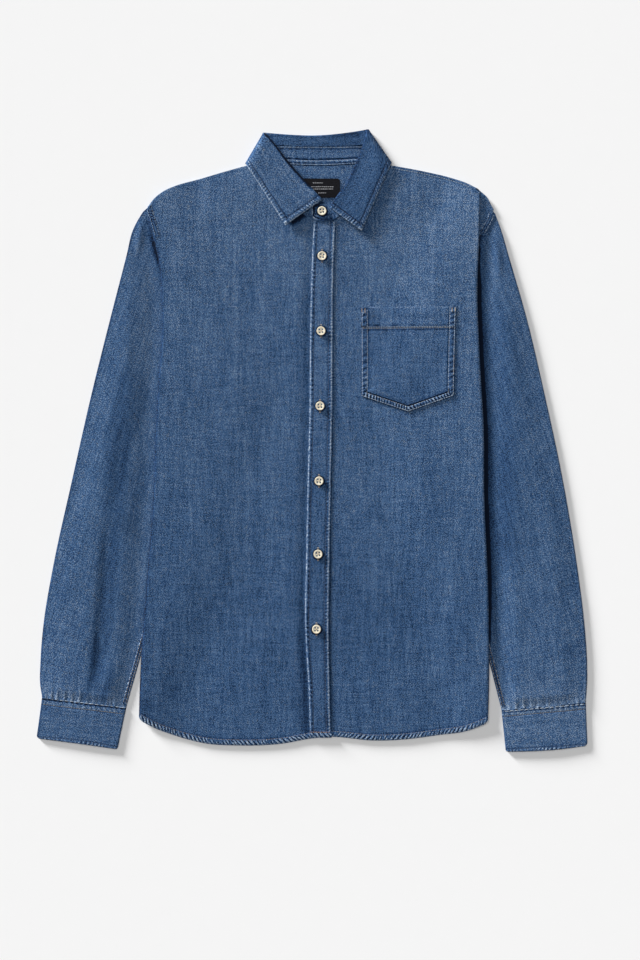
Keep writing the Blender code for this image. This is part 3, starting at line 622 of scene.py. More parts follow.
def cloth_wall():
    """Thickness of one layer of denim, in millimetres."""
    return bpy.context.scene.shirt_sizes.cloth_wall / MM


def fused_wall():
    """Thickness of the collar and the cuffs, in millimetres."""
    return bpy.context.scene.shirt_sizes.fused_wall / MM


def stitched_edge(inside, along, row, phase, strength=1.0, pale=0.26, period=None):
    """Height, and fade of wear with painted shade, that a topstitched edge gives a cloth, by the
    distance inside the edge.
    """
    sizes = bpy.context.scene.shirt_sizes
    height = sizes.pucker_height / MM
    period = period or sizes.pucker_period / MM
    band = np.sin(math.pi * np.clip(inside / row, 0.0, 1.0))
    ripple = puckers(along + 0.3 * inside, period, phase)
    past = np.exp(-np.maximum(inside - row, 0.0) / 3.5) * (inside > row)
    rise = height * (0.8 * band + ripple * (1.0 * band + 0.4 * past))
    rise = rise - 1.3 * height * hump(inside - row, 0.9) - 1.2 * height * hump(inside, 0.7)
    broken = 0.65 + 0.4 * puckers(along, 2.6 * period, phase + 1.0) + 0.3 * ripple
    stroke = np.clip(1.7 * ripple, -1.0, 1.0) * np.sqrt(np.clip(band, 0.0, 1.0))
    # Pale worn edge and pucker crests; painted shade in the pucker troughs and in the groove of the
    # stitch row
    worn = pale * hump(inside - 0.5, 0.9) * broken + 0.24 * np.maximum(stroke, 0.0)
    worn = worn - 0.2 * np.maximum(-stroke, 0.0) - 0.28 * hump(inside - row, 0.9)
    return rise * strength, worn * strength


def facing_up(out):
    """1 where cloth faces upwards, 0 on its underside, so that what lies on the floor stays flat."""
    return smooth(out[..., 2] * 2.0 - 0.4)


def shade_along(x, y, line, width, depth):
    """Darkening along a line, where the cloth above keeps the light off."""
    away, _ = nearest(x, y, through(line))
    return -depth * hump(away, width)


def grid_faces(rows, columns, ring):
    """Faces of a shell round a grid: outer side, inner side and rims."""
    across = columns if ring else columns - 1
    i, j = np.meshgrid(np.arange(rows - 1), np.arange(across), indexing="ij")
    k = (j + 1) % columns
    low, high = i * columns, (i + 1) * columns
    outer = np.stack([low + j, low + k, high + k, high + j], -1).reshape(-1, 4)
    count = rows * columns
    faces = [outer, outer[:, ::-1] + count]
    j = np.arange(across)
    k = (j + 1) % columns
    faces.append(np.stack([j + count, k + count, k, j], -1))
    last = (rows - 1) * columns
    faces.append(np.stack([last + j, last + k, last + k + count, last + j + count], -1))
    if not ring:
        low = np.arange(rows - 1) * columns
        high = low + columns
        faces.append(np.stack([low, high, high + count, low + count], -1))
        end = columns - 1
        faces.append(np.stack([low + end + count, high + end + count, high + end, low + end], -1))
    return np.concatenate(faces)


def normals(grid, ring=False):
    """Outward directions of a grid's points."""
    up = np.gradient(grid, axis=0)
    if ring:
        over = np.roll(grid, -1, axis=1) - np.roll(grid, 1, axis=1)
    else:
        over = np.gradient(grid, axis=1)
    out = np.cross(over, up)
    return out / np.maximum(np.linalg.norm(out, axis=2, keepdims=True), 1e-9)


def show(name, points, faces, material, sharp=True):
    """Makes a mesh piece from points in millimetres, and rides it on the shirt."""
    mesh = bpy.data.meshes.new(name)
    placed = (np.asarray(points).reshape(-1, 3) + (MIDDLE_X, 0.0, 0.0)) * MM
    mesh.from_pydata(placed.tolist(), [], faces)
    mesh.update()
    mesh.shade_smooth()
    if sharp:
        mesh.set_sharp_from_angle(angle=math.radians(60.0))
    piece = bpy.data.objects.new(name, mesh)
    bpy.context.scene.collection.objects.link(piece)
    mesh.materials.append(material)
    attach(piece, "root")
    return piece


def cloth(name, middle, wall, grain, fade, material, ring=False):
    """A thin closed shell of cloth round a grid of middle points.

    grain holds the place of each point in the flat cloth, warp along its second number, and
    fade how much paler it is where worn, and how much painted shade darkens or painted light brightens
    it.
    """
    rows, columns = middle.shape[:2]
    out = normals(middle, ring) * wall / 2
    points = np.concatenate([(middle + out).reshape(-1, 3), (middle - out).reshape(-1, 3)])
    piece = show(name, points, grid_faces(rows, columns, ring).tolist(), material)
    piece_number = np.full((rows, columns), len(name) + 0.37)
    weave = np.dstack([grain * MM, piece_number]).reshape(-1, 3)
    held = piece.data.attributes.new("grain", "FLOAT_VECTOR", "POINT")
    held.data.foreach_set("vector", np.concatenate([weave, weave]).ravel())
    fade = np.broadcast_to(fade, (rows, columns)).ravel()
    # The fade attribute carries wear, and painted shade and painted light as well
    worn = piece.data.attributes.new("fade", "FLOAT", "POINT")
    worn.data.foreach_set("value", np.concatenate([fade, fade]))
    return piece


def on_top(middle, wall, ring=False):
    """The outer face of a shell."""
    return middle + normals(middle, ring) * wall / 2


def row_inside(grid, edge, inset, start=0, stop=None):
    """A line on a grid, parallel to one of its edges at a distance inside it."""
    if edge in ("foot", "top"):
        grid = np.swapaxes(grid, 0, 1)
    if edge in ("end", "top"):
        grid = grid[:, ::-1]
    grid = grid[start:stop]
    line = []
    for points in grid:
        reached = lengths(points)
        line.append([np.interp(inset, reached, axis) for axis in points.T])
    return np.array(line)


def edge_place(grid, edge):
    """Distance of each grid point from one edge, and its place along that edge."""
    turned = edge in ("foot", "top")
    if turned:
        grid = np.swapaxes(grid, 0, 1)
    if edge in ("end", "top"):
        grid = grid[:, ::-1]
    steps = np.linalg.norm(np.diff(grid, axis=1), axis=2)
    inside = np.concatenate([np.zeros((len(grid), 1)), np.cumsum(steps, axis=1)], axis=1)
    along = np.repeat(lengths(grid[:, 0])[:, None], grid.shape[1], axis=1)
    if edge in ("end", "top"):
        inside, along = inside[:, ::-1], along[:, ::-1]
    return (inside.T, along.T) if turned else (inside, along)


def stitch_rings(start, end, radius, sink):
    """Rings of one stitch, which dips into the cloth at both ends."""
    ahead = (end - start) / max(np.linalg.norm(end - start), 1e-9)
    aside = np.cross((0.0, 0.0, 1.0), ahead)
    aside = aside / max(np.linalg.norm(aside), 1e-9)
    above = np.cross(ahead, aside)
    turn = np.linspace(0.0, 2.0 * math.pi, THREAD_SIDES, endpoint=False)[:, None]
    circle = np.cos(turn) * aside + np.sin(turn) * above
    profile = ((0.0, 0.3, -sink), (0.2, 1.0, 0.25), (0.8, 1.0, 0.25), (1.0, 0.3, -sink))
    return [
        start + (end - start) * share + above * high * radius + radius * wide * circle
        for share, wide, high in profile
    ]


def stitch_faces(first, rings):
    """Faces of one stitch, whose points start at first."""
    faces = []
    for low in range(first, first + (rings - 1) * THREAD_SIDES, THREAD_SIDES):
        for s in range(THREAD_SIDES):
            t = (s + 1) % THREAD_SIDES
            faces.append((low + s, low + t, low + THREAD_SIDES + t, low + THREAD_SIDES + s))
    last = first + (rings - 1) * THREAD_SIDES
    faces.append(tuple(reversed(range(first, first + THREAD_SIDES))))
    faces.append(tuple(range(last, last + THREAD_SIDES)))
    return faces


def stitches(name, rows, material, radius=None, length=None, gap=None, sink=0.35):
    """Rows of machine stitches, one small tapered thread for each."""
    sizes = bpy.context.scene.shirt_sizes
    radius = radius or sizes.thread_radius / MM
    length = length or sizes.stitch_length / MM
    gap = gap or sizes.stitch_gap / MM
    points, faces = [], []
    for row in rows:
        reached = lengths(row)
        for k in range(int(reached[-1] // (length + gap))):
            begin = k * (length + gap) + gap / 2
            start, end = (
                np.array([np.interp(at, reached, axis) for axis in row.T])
                for at in (begin, begin + length)
            )
            rings = stitch_rings(start, end, radius, sink)
            faces += stitch_faces(len(points) * THREAD_SIDES, len(rings))
            points += rings
    return show(name, np.concatenate(points), faces, material, sharp=False)


# ---------------------------------------------------------------- materials


def material_named(name):
    """A material by name, and its node tree if it is new and still has to be made."""
    material = bpy.data.materials.get(name)
    if material:
        return material, None
    material = bpy.data.materials.new(name)
    material.use_nodes = True
    return material, material.node_tree


def noise(tree, vector, scale, detail=2.0, roughness=0.5):
    """Noise on a vector, with so many clouds to the metre along each of its axes."""
    stretch = tree.nodes.new("ShaderNodeMapping")
    stretch.inputs["Scale"].default_value = scale
    tree.links.new(vector, stretch.inputs["Vector"])
    cloud = tree.nodes.new("ShaderNodeTexNoise")
    cloud.inputs["Scale"].default_value = 1.0
    cloud.inputs["Detail"].default_value = detail
    cloud.inputs["Roughness"].default_value = roughness
    tree.links.new(stretch.outputs["Vector"], cloud.inputs["Vector"])
    return cloud.outputs["Fac"]


def math_node(tree, operation, first, second, clamp=False):
    """One step of arithmetic on sockets or numbers."""
    node = tree.nodes.new("ShaderNodeMath")
    node.operation = operation
    node.use_clamp = clamp
    for socket, value in zip(node.inputs, (first, second)):
        if isinstance(value, (int, float)):
            socket.default_value = value
        else:
            tree.links.new(value, socket)
    return node.outputs["Value"]


def weighted(tree, parts, middle):
    """middle plus each noise's swing about one half, times its weight."""
    total = middle
    for socket, weight in parts:
        swing = math_node(tree, "SUBTRACT", socket, 0.5)
        total = math_node(tree, "ADD", total, math_node(tree, "MULTIPLY", swing, weight))
    return total


def yarn_tones(tree, vector, size, share):
    """A tone for each yarn float, in cells of a size in metres, less a share of those beside it."""
    parts = []
    for across, along in ((0, 0), (1, 0), (-1, 0), (0, 1), (0, -1)):
        moved = tree.nodes.new("ShaderNodeVectorMath")
        moved.operation = "ADD"
        tree.links.new(vector, moved.inputs[0])
        moved.inputs[1].default_value = ((across + 0.5) * size[0], (along + 0.5) * size[1], 0.0)
        cell = tree.nodes.new("ShaderNodeVectorMath")
        cell.operation = "SNAP"
        tree.links.new(moved.outputs["Vector"], cell.inputs[0])
        cell.inputs[1].default_value = (*size, 1.0)
        tone = tree.nodes.new("ShaderNodeTexWhiteNoise")
        tree.links.new(cell.outputs["Vector"], tone.inputs["Vector"])
        parts.append((tone.outputs["Value"], -share if across or along else 1.0))
    return weighted(tree, parts, 0.5)


def ramp(tree, value, stops):
    """A colour ramp with the given places and colours."""
    node = tree.nodes.new("ShaderNodeValToRGB")
    elements = node.color_ramp.elements
    while len(elements) < len(stops):
        elements.new(0.5)
    for element, (place, colour) in zip(elements, stops):
        element.position = place
        element.color = (*colour, 1.0)
    tree.links.new(value, node.inputs["Fac"])
    return node.outputs["Color"]


def relief(tree, shader, height, strength, distance):
    """Fine relief of a surface from a height. distance is in metres."""
    bump = tree.nodes.new("ShaderNodeBump")
    bump.inputs["Strength"].default_value = strength
    bump.inputs["Distance"].default_value = distance
    tree.links.new(height, bump.inputs["Height"])
    tree.links.new(bump.outputs["Normal"], shader.inputs["Normal"])


def clouded(tree, shader, scale, detail, roughness, stops):
    """Colours the shader in clouds on the object's coordinates. Gives these and the clouds."""
    place = tree.nodes.new("ShaderNodeTexCoord").outputs["Object"]
    cloud = noise(tree, place, scale, detail, roughness)
    tree.links.new(ramp(tree, cloud, stops), shader.inputs["Base Color"])
    return place, cloud


def denim_material(name="denim_face", dull=0.0):
    """Washed indigo denim: blue warp with slubs over a pale weft that shows where it is worn."""
    colours = bpy.context.scene.shirt_colours
    material, tree = material_named(name)
    if tree is None:
        return material
    shader = tree.nodes["Principled BSDF"]
    grain = tree.nodes.new("ShaderNodeAttribute")
    grain.attribute_name = "grain"
    fade = tree.nodes.new("ShaderNodeAttribute")
    fade.attribute_name = "fade"
    vector = grain.outputs["Vector"]
    yarn = yarn_tones(tree, vector, (0.001, 0.0011), 0.16)
    slub = noise(tree, vector, (470.0, 45.0, 1.0), 1.0, 0.5)
    weft = noise(tree, vector, (50.0, 470.0, 1.0), 1.0, 0.5)
    streak = noise(tree, vector, (85.0, 7.0, 1.0), 2.0, 0.5)
    cloud = noise(tree, vector, (16.0, 11.0, 1.0), 2.0, 0.5)
    parts = ((yarn, 0.56), (slub, 0.34), (weft, 0.24), (streak, 0.17), (cloud, 0.08))
    value = weighted(tree, parts, 0.36 - dull)
    # The fade attribute, scaled by the yarn's tone, moves the colour: paler where worn, darker under
    # painted shade, paler under painted light
    wear_and_shading = math_node(tree, "ADD", yarn, 0.5)
    wear_and_shading = math_node(tree, "MULTIPLY", fade.outputs["Fac"], wear_and_shading)
    value = math_node(tree, "ADD", value, wear_and_shading, clamp=True)
    stops = (
        (0.0, colours.denim_deep_and_shade),
        (0.2, colours.denim_dark),
        (0.36, colours.denim_blue),
        (0.55, colours.denim_light),
        (1.0, colours.denim_pale),
    )
    colour = ramp(tree, value, stops)
    tree.links.new(colour, shader.inputs["Base Color"])
    shader.inputs["Roughness"].default_value = 0.92
    shader.inputs["Specular IOR Level"].default_value = 0.1
    shader.inputs["Sheen Weight"].default_value = 0.03
    shader.inputs["Sheen Roughness"].default_value = 0.6
    shader.inputs["Sheen Tint"].default_value = (0.72, 0.8, 0.95, 1.0)
    twill = tree.nodes.new("ShaderNodeTexWave")
    twill.bands_direction = "DIAGONAL"
    twill.inputs["Scale"].default_value = 420.0
    twill.inputs["Distortion"].default_value = 1.5
    twill.inputs["Detail"].default_value = 1.0
    tree.links.new(vector, twill.inputs["Vector"])
    height = weighted(tree, ((slub, 0.6), (weft, 0.3), (twill.outputs["Fac"], 0.3)), 0.5)
    relief(tree, shader, height, 0.3, 0.00025)
    return material


def wrong_side_material():
    """The inner face of the denim, a little duller than its face."""
    return denim_material("denim_wrong_side", 0.02)


def thread_material(name, colour):
    """Cotton sewing thread, a little uneven in colour."""
    material, tree = material_named(name)
    if tree is None:
        return material
    shader = tree.nodes["Principled BSDF"]
    dark = [0.45 * channel for channel in colour]
    stops = ((0.3, dark), (0.62, tuple(colour)))
    place, _ = clouded(tree, shader, (260.0, 260.0, 260.0), 2.0, 0.6, stops)
    shader.inputs["Roughness"].default_value = 0.8
    shader.inputs["Sheen Weight"].default_value = 0.1
    twist = tree.nodes.new("ShaderNodeTexWave")
    twist.bands_direction = "DIAGONAL"
    twist.inputs["Scale"].default_value = 700.0
    tree.links.new(place, twist.inputs["Vector"])
    relief(tree, shader, twist.outputs["Fac"], 0.4, 0.0001)
    return material


def thread(kind):
    """The material of one kind of sewing thread."""
    colours = bpy.context.scene.shirt_colours
    colour = {
        "pale": colours.thread_pale,
        "tan": colours.thread_tan,
        "brown": colours.thread_brown,
        "blue": colours.thread_blue,
        "button": colours.thread_button,
    }[kind]
    return thread_material(f"thread_{kind}", colour)


def button_material():
    """Cream resin with faint clouds and a satin face."""
    colours = bpy.context.scene.shirt_colours
    material, tree = material_named("button_cream")
    if tree is None:
        return material
    shader = tree.nodes["Principled BSDF"]
    shade = [0.72 * channel for channel in colours.button_cream]
    stops = ((0.3, shade), (0.6, tuple(colours.button_cream)))
    _, cloud = clouded(tree, shader, (180.0, 420.0, 300.0), 3.0, 0.6, stops)
    rough = math_node(tree, "ADD", math_node(tree, "MULTIPLY", cloud, 0.2), 0.3)
    tree.links.new(rough, shader.inputs["Roughness"])
    return material


def label_material():
    """Black woven ribbon with fine cross ribs."""
    colours = bpy.context.scene.shirt_colours
    material, tree = material_named("label_black")
    if tree is None:
        return material
    shader = tree.nodes["Principled BSDF"]
    dark = [0.4 * channel for channel in colours.label_black]
    light = [2.2 * channel for channel in colours.label_black]
    stops = ((0.3, dark), (0.7, light))
    _, cloud = clouded(tree, shader, (300.0, 900.0, 300.0), 2.0, 0.6, stops)
    shader.inputs["Roughness"].default_value = 0.7
    shader.inputs["Specular IOR Level"].default_value = 0.12
    relief(tree, shader, cloud, 0.3, 0.0001)
    return material


def floor_material():
    """Plain pale paper."""
    material, tree = material_named("pale_floor")
    if tree is None:
        return material
    shader = tree.nodes["Principled BSDF"]
    stops = ((0.0, (0.885, 0.885, 0.885)), (1.0, (0.895, 0.895, 0.895)))
    clouded(tree, shader, (40.0, 40.0, 40.0), 2.0, 0.5, stops)
    shader.inputs["Roughness"].default_value = 1.0
    shader.inputs["Specular IOR Level"].default_value = 0.0
    return material


# ---------------------------------------------------------------- pieces


def broad_tone(x, y):
    """Broad tone of the body: paler over the shoulders, darker towards the hem."""
    fade = 0.05 * smooth((y - 60.0) / 260.0) - 0.045 * smooth((40.0 - y) / 300.0)
    fade = fade + 0.012 * smooth((x - 40.0) / 160.0) * smooth((y + 260.0) / 300.0)
    return fade


def roll_path(radius, reach, count):
    """Steps round a fold and on past it: how far out, and how far down from the top."""
    arc = math.pi * radius
    length = np.linspace(0.0, 1.0, count + 1)[1:] * reach
    turn = np.minimum(length, arc) / radius
    straight = np.maximum(length - arc, 0.0)
    return radius * np.sin(turn) - straight, radius * (1.0 - np.cos(turn))


def round_corner(side, x, y):
    """Rounds the corner of the hem and the side fold."""
    in_side = np.clip(1.0 - inside_fold(side, x, y) / HEM_CORNER, 0.0, 1.0)
    over_hem = np.clip(1.0 - (y - column(HEM[side], 0, x)) / HEM_CORNER, 0.0, 1.0)
    rounded_side = in_side * np.sqrt(1.0 - np.square(over_hem) / 2.0)
    rounded_hem = over_hem * np.sqrt(1.0 - np.square(in_side) / 2.0)
    x = x - side * (in_side - rounded_side) * HEM_CORNER
    return x, y + (over_hem - rounded_hem) * HEM_CORNER


def front_grid(side):
    """One front: its upper sheet, the roll at the side fold, and the hook under the body."""
    rows, columns = FRONT_CELLS
    inset = (LAYER + LOFT_SIDE) / 2 + HALF
    shoulder = [(x, y - SEAM_INSET) for x, y in SHOULDER[side][:-1]]
    shoulder[0] = (shoulder[0][0] - side * inset, shoulder[0][1])
    top_line = np.concatenate([through(shoulder), through(FRONT_NECK[side])])
    hem = list(HEM[side])
    hem[0] = (hem[0][0] - side * inset, hem[0][1])
    foot_line = through(hem) + (0.0, 1.2)
    fold_y = np.linspace(foot_line[0][1], top_line[0][1], rows + 1)
    fold = np.stack([side_x(side, fold_y) - side * inset, fold_y], axis=1)
    fold[0], fold[-1] = foot_line[0], top_line[0]
    centre = spaced((foot_line[-1], top_line[-1]), rows)
    plan = patch(spaced(foot_line, columns), spaced(top_line, columns), fold, centre)
    plan = np.dstack(round_corner(side, plan[..., 0], plan[..., 1]))
    sheet = lift(plan, front_z)
    from_seam, _ = nearest(plan[..., 0], plan[..., 1], through(shoulder))
    sheet[..., 2] -= SEAM_BEND[1] * smooth(1.0 - from_seam / SEAM_BEND[0])
    if side == RIGHT:
        width, depth = PLACKET_DIP
        beside = column(PLACKET, 0, plan[..., 1], 1) - plan[..., 0]
        below_neck = smooth((290.0 - plan[..., 1]) / 60.0)
        sheet[..., 2] -= depth * smooth(1.0 - beside / width) * below_neck
    rolled = np.zeros((rows + 1, ROLL_CELLS, 3))
    for i in range(rows + 1):
        x, y, z = sheet[i, 0]
        row_radius = (z - back_z(x, y)) / 2
        half_turn = math.pi * row_radius
        short, full = HOOK_START * half_turn, half_turn + HOOK
        reach = short + (full - short) * smooth((YOKE_SEAM_Y - HOOK_DROP - y) / HOOK_EASE)
        out, down = roll_path(row_radius, reach, ROLL_CELLS)
        rolled[i, :, 0] = x + side * out
        rolled[i, :, 1] = y
        rolled[i, :, 2] = z - down
    grid = np.concatenate([rolled[:, ::-1], sheet], axis=1)
    return grid[:, ::-1] if side == LEFT else grid


def hem_strip(name, line, height, material, phase, side=None):
    """A narrow turned hem, twisted a little like a rope, and the row that its thread runs on."""
    width = bpy.context.scene.shirt_sizes.hem_width / MM
    line = spaced(line, int(lengths(line)[-1] / 0.65))
    along = lengths(line)
    ahead = directions(line)
    inward = np.stack([-ahead[:, 1], ahead[:, 0]], axis=1)
    inward *= np.sign(inward[:, 1:2])
    across = np.concatenate([np.linspace(1.0, 0.0, 10), -np.linspace(0.0, 1.0, 8)[1:]])
    grid = np.zeros((len(line), len(across), 3))
    fade = np.zeros((len(line), len(across)))
    for j, share in enumerate(across):
        depth = abs(share) * width
        upper = 1.0 if share > 0 else (-1.0 if share < 0 else 0.0)
        twist = 1.8 * puckers(along + 0.9 * depth, 5.4, phase)
        twist = np.clip(twist + 0.8 * puckers(along + 0.4 * depth, 3.3, phase), -1.0, 1.0)
        plan = line + inward * depth
        if side:
            plan = np.column_stack(round_corner(side, plan[:, 0], plan[:, 1]))
        thick = 0.78 * smooth(abs(share) * 5.0) * upper
        ridge = 0.34 * twist * math.sin(math.pi * min(abs(share) + 0.12, 1.0)) * (share >= 0)
        base = height(plan[:, 0], plan[:, 1])
        sink = 0.55 * smooth(1.0 - (width - depth) / 1.6) * (share > 0)
        grid[:, j, :2] = plan
        grid[:, j, 2] = base + thick + ridge - sink
        belly = math.sin(math.pi * min(abs(share) + 0.1, 1.0))
        fade[:, j] = (0.46 * np.maximum(twist, 0.0) - 0.36 * np.maximum(-twist, 0.0)) * belly
        fade[:, j] += (0.26 + 0.2 * twist) * hump(depth - 0.6, 1.1) * (share >= 0)
        fade[:, j] -= 0.22 * hump(depth - width, 1.0) * (share > 0) + 0.05
    leftward = line[-1, 0] < line[0, 0]
    if leftward:
        grid, fade = grid[:, ::-1], fade[:, ::-1]
    wall = cloth_wall()
    piece = cloth(name, grid, wall, grid[..., :2], fade, material)
    top = on_top(grid, wall)
    return piece, row_inside(top, "end" if leftward else "start", HEM_ROW)


def front_wear_and_shade(side, x, y, inward):
    """How worn one front is, and where shade is painted on it, apart from its stitched edges."""
    fade = broad_tone(x, y)
    if side == LEFT:
        return fade + 0.03 * smooth(1.0 - inward / 30.0) + shade_along(x, y, BESIDE_LEAF, 4.5, 0.1)
    # Painted shade dims the side fold on the wearer's right, which faces the window, and more of it lies
    # near the armhole
    fade = fade - 0.3 * smooth(1.0 - inward / 3.5) - 0.03 * smooth(1.0 - inward / 16.0)
    fade = fade - 0.05 * smooth(1.0 - inward / 13.0) * smooth((y - 130.0) / 50.0)
    # Painted shade in the trough beside the placket's free edge, deeper towards the hem, and the painted
    # shadow under the collar leaf
    from_placket = column(PLACKET, 0, y, 1) - x
    dark = (0.08 + 0.11 * smooth((-215.0 - y) / 70.0)) * smooth((250.0 - y) / 60.0)
    return fade - dark * hump(from_placket - 4.0, 5.0) + shade_along(x, y, UNDER_LEAF, 3.4, 0.55)


def make_fronts():
    """Both fronts with their hems."""
    wall = cloth_wall()
    material = denim_material()
    for side in (RIGHT, LEFT):
        name = SIDE_NAMES[side]
        grid = front_grid(side)
        x, y = grid[..., 0], grid[..., 1]
        inward = inside_fold(side, x, y)
        from_seam, _ = nearest(x, y, through(SHOULDER[side]))
        rise, worn = stitched_edge(from_seam, x, 3.6, 0.3, 0.7 if side == LEFT else 0.25, 0.0)
        grid[..., 2] += rise * (inward > 12.0)
        over_hem, place = nearest(x, y, through(HEM[side]))
        dashes = broken(place, 5.3, 1.0 + side, 0.55, 0.6) * (inward > 4.0)
        dark = 0.4 if side == RIGHT else 0.5
        fade = front_wear_and_shade(side, x, y, inward) + worn - dark * dashes * hump(over_hem - 8.2, 1.0)
        front = cloth(f"front_cloth_{name}", grid, wall, grid[..., :2], fade, material)
        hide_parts(f"front_{name}")
        piece, row = hem_strip(f"hem_{name}", through(HEM[side]), front_z, material, 1.0 + side, side)
        sewn = stitches(f"hem_stitching_{name}", [row], thread("tan"), radius=0.2)
        if side == LEFT:
            top = on_top(grid, wall)
            on_shoulder = np.flatnonzero(top[-1, :, 0] > 92.0)
            row = row_inside(top, "top", SHOULDER_ROW, on_shoulder[0], on_shoulder[-1] - 14)
            stitches("shoulder_stitching", [row], thread("pale"), radius=0.34)


def make_back():
    """The back below the yoke, which everything else of the body lies on."""
    rows, columns = BACK_CELLS
    inset = (LAYER + LOFT_SIDE) / 2 + HALF + HOOK + 3 * GAP
    foot_line = list(HEM[RIGHT][:-1]) + list(reversed(HEM[LEFT][:-1]))
    foot_line = [(x, y + BACK_HEM_LIFT) for x, y in foot_line]
    for end, side in ((0, RIGHT), (-1, LEFT)):
        x, y = foot_line[end]
        foot_line[end] = (x - side * inset, y - BACK_CORNER_DROP[side])
    edges = []
    for side, low in ((RIGHT, foot_line[0]), (LEFT, foot_line[-1])):
        y = np.linspace(low[1], YOKE_SEAM_Y - GAP, rows + 1)
        edge = np.stack([side_x(side, y) - side * inset, y], axis=1)
        edge[0] = low
        edges.append(edge)
    top = spaced((edges[0][-1], edges[1][-1]), columns)
    plan = patch(spaced(through(foot_line), columns), top, *edges)
    for side in (RIGHT, LEFT):
        corner = (plan[..., 0] * side > 190.0) & (plan[..., 1] < -330.0)
        x, y = round_corner(side, plan[..., 0], plan[..., 1])
        plan = np.where(corner[..., None], np.dstack([x, y]), plan)
    grid = lift(plan, back_z)
    fade = broad_tone(plan[..., 0], plan[..., 1])
    material = wrong_side_material()
    back = cloth("back_cloth", grid, cloth_wall(), plan, fade, material)
    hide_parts("back")


def yoke_grid(wall):
    """The yoke under the shoulders, rolled over the shoulder edges to its front seams."""
    columns, rows = YOKE_CELLS
    armhole = SLEEVE_SEAMS[LEFT]
    share = (armhole[0][1] - YOKE_SEAM_Y) / (armhole[0][1] - armhole[1][1])
    armhole_x = armhole[0][0] + share * (armhole[1][0] - armhole[0][0])
    foot_start = (side_x(RIGHT, YOKE_SEAM_Y) + 1.0, YOKE_SEAM_Y)
    foot_end = (armhole_x - 0.5, YOKE_SEAM_Y)
    right, left = through(SHOULDER[RIGHT][:-1]), through(SHOULDER[LEFT][:-1])[::-1]
    edge_line = np.concatenate([right, through(BACK_NECK), left, through(SHOULDER_END)[1:]])
    edge = spaced(edge_line, columns)
    radius = (LAYER + LOFT_TOP) / 2
    from_middle = np.abs(edge[:, 0] - SHOULDER_MIDDLE)
    on_shoulder = smooth((from_middle - SHOULDER_ROLL_START) / SHOULDER_ROLL_EASE)
    on_shoulder *= 1.0 - smooth((edge[:, 0] - SHOULDER_ROLL_END) / SHOULDER_ROLL_FADE)
    inset = (radius + HALF) * np.maximum(on_shoulder, 0.05)
    top = edge - np.stack([np.zeros(len(edge)), inset], axis=1)
    foot = spaced((foot_start, foot_end), columns)
    plan = patch(foot, top, spaced((foot[0], top[0]), rows), spaced((foot[-1], top[-1]), rows))
    sheet = lift(plan, back_z)
    rolled = np.zeros((ROLL_CELLS, columns + 1, 3))
    for j in range(columns + 1):
        x, y, z = sheet[-1, j]
        seam_y = edge[j, 1] - SHOULDER_DROP
        column_radius = (front_z(x, seam_y) - z - wall - GAP) / 2
        lip = y - seam_y - YOKE_SEAM_GAP
        reach = max(YOKE_LIP, (math.pi * column_radius + lip) * on_shoulder[j])
        out, up = roll_path(column_radius, reach, ROLL_CELLS)
        rolled[:, j, 0] = x
        rolled[:, j, 1] = y + out
        rolled[:, j, 2] = z + up
    return np.concatenate([sheet, rolled]), on_shoulder


def make_yoke():
    """The yoke, a little paler where it rolls over the shoulders."""
    wall = cloth_wall()
    grid, on_shoulder = yoke_grid(wall)
    fade = 0.02 + 0.05 * on_shoulder[None, :] * np.ones(grid.shape[:2])
    grain = np.dstack([grid[..., 1], grid[..., 0]])
    yoke = cloth("yoke_cloth", grid, wall, grain, fade, wrong_side_material())
    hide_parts("yoke")


def flat_ring(outer, inner, top_z, floor_z, upper_cells, side):
    """A flattened tube's section from its top fold to its seam, as a ring of points."""
    outer_z = float(top_z(*outer))
    inner_z = float(top_z(*inner))
    outer_radius = (outer_z - floor_z) / 2
    inner_radius = (inner_z - floor_z) / 2
    across = np.subtract(inner, outer)
    across = across / np.hypot(*across)
    start = np.add(outer, across * (outer_radius + floor_z))
    end = np.subtract(inner, across * (inner_radius + floor_z))
    share = np.linspace(0.0, 1.0, upper_cells + 1)[:, None]
    line = start + (end - start) * share
    upper = np.column_stack([line, top_z(line[:, 0], line[:, 1])])
    lower = np.column_stack([line, np.full(len(line), floor_z)])
    turn = np.linspace(0.0, math.pi, FOLD_CELLS + 1)[1:-1]
    ends = []
    for centre, radius, outwards in ((end, inner_radius, across), (start, outer_radius, -across)):
        plan = centre + outwards * radius * np.sin(turn)[:, None]
        ends.append(np.column_stack([plan, floor_z + radius * (1.0 + np.cos(turn))]))
    ring = np.concatenate([upper, ends[0], lower[::-2], ends[1][::-1]])
    return ring[::-1] if side == RIGHT else ring


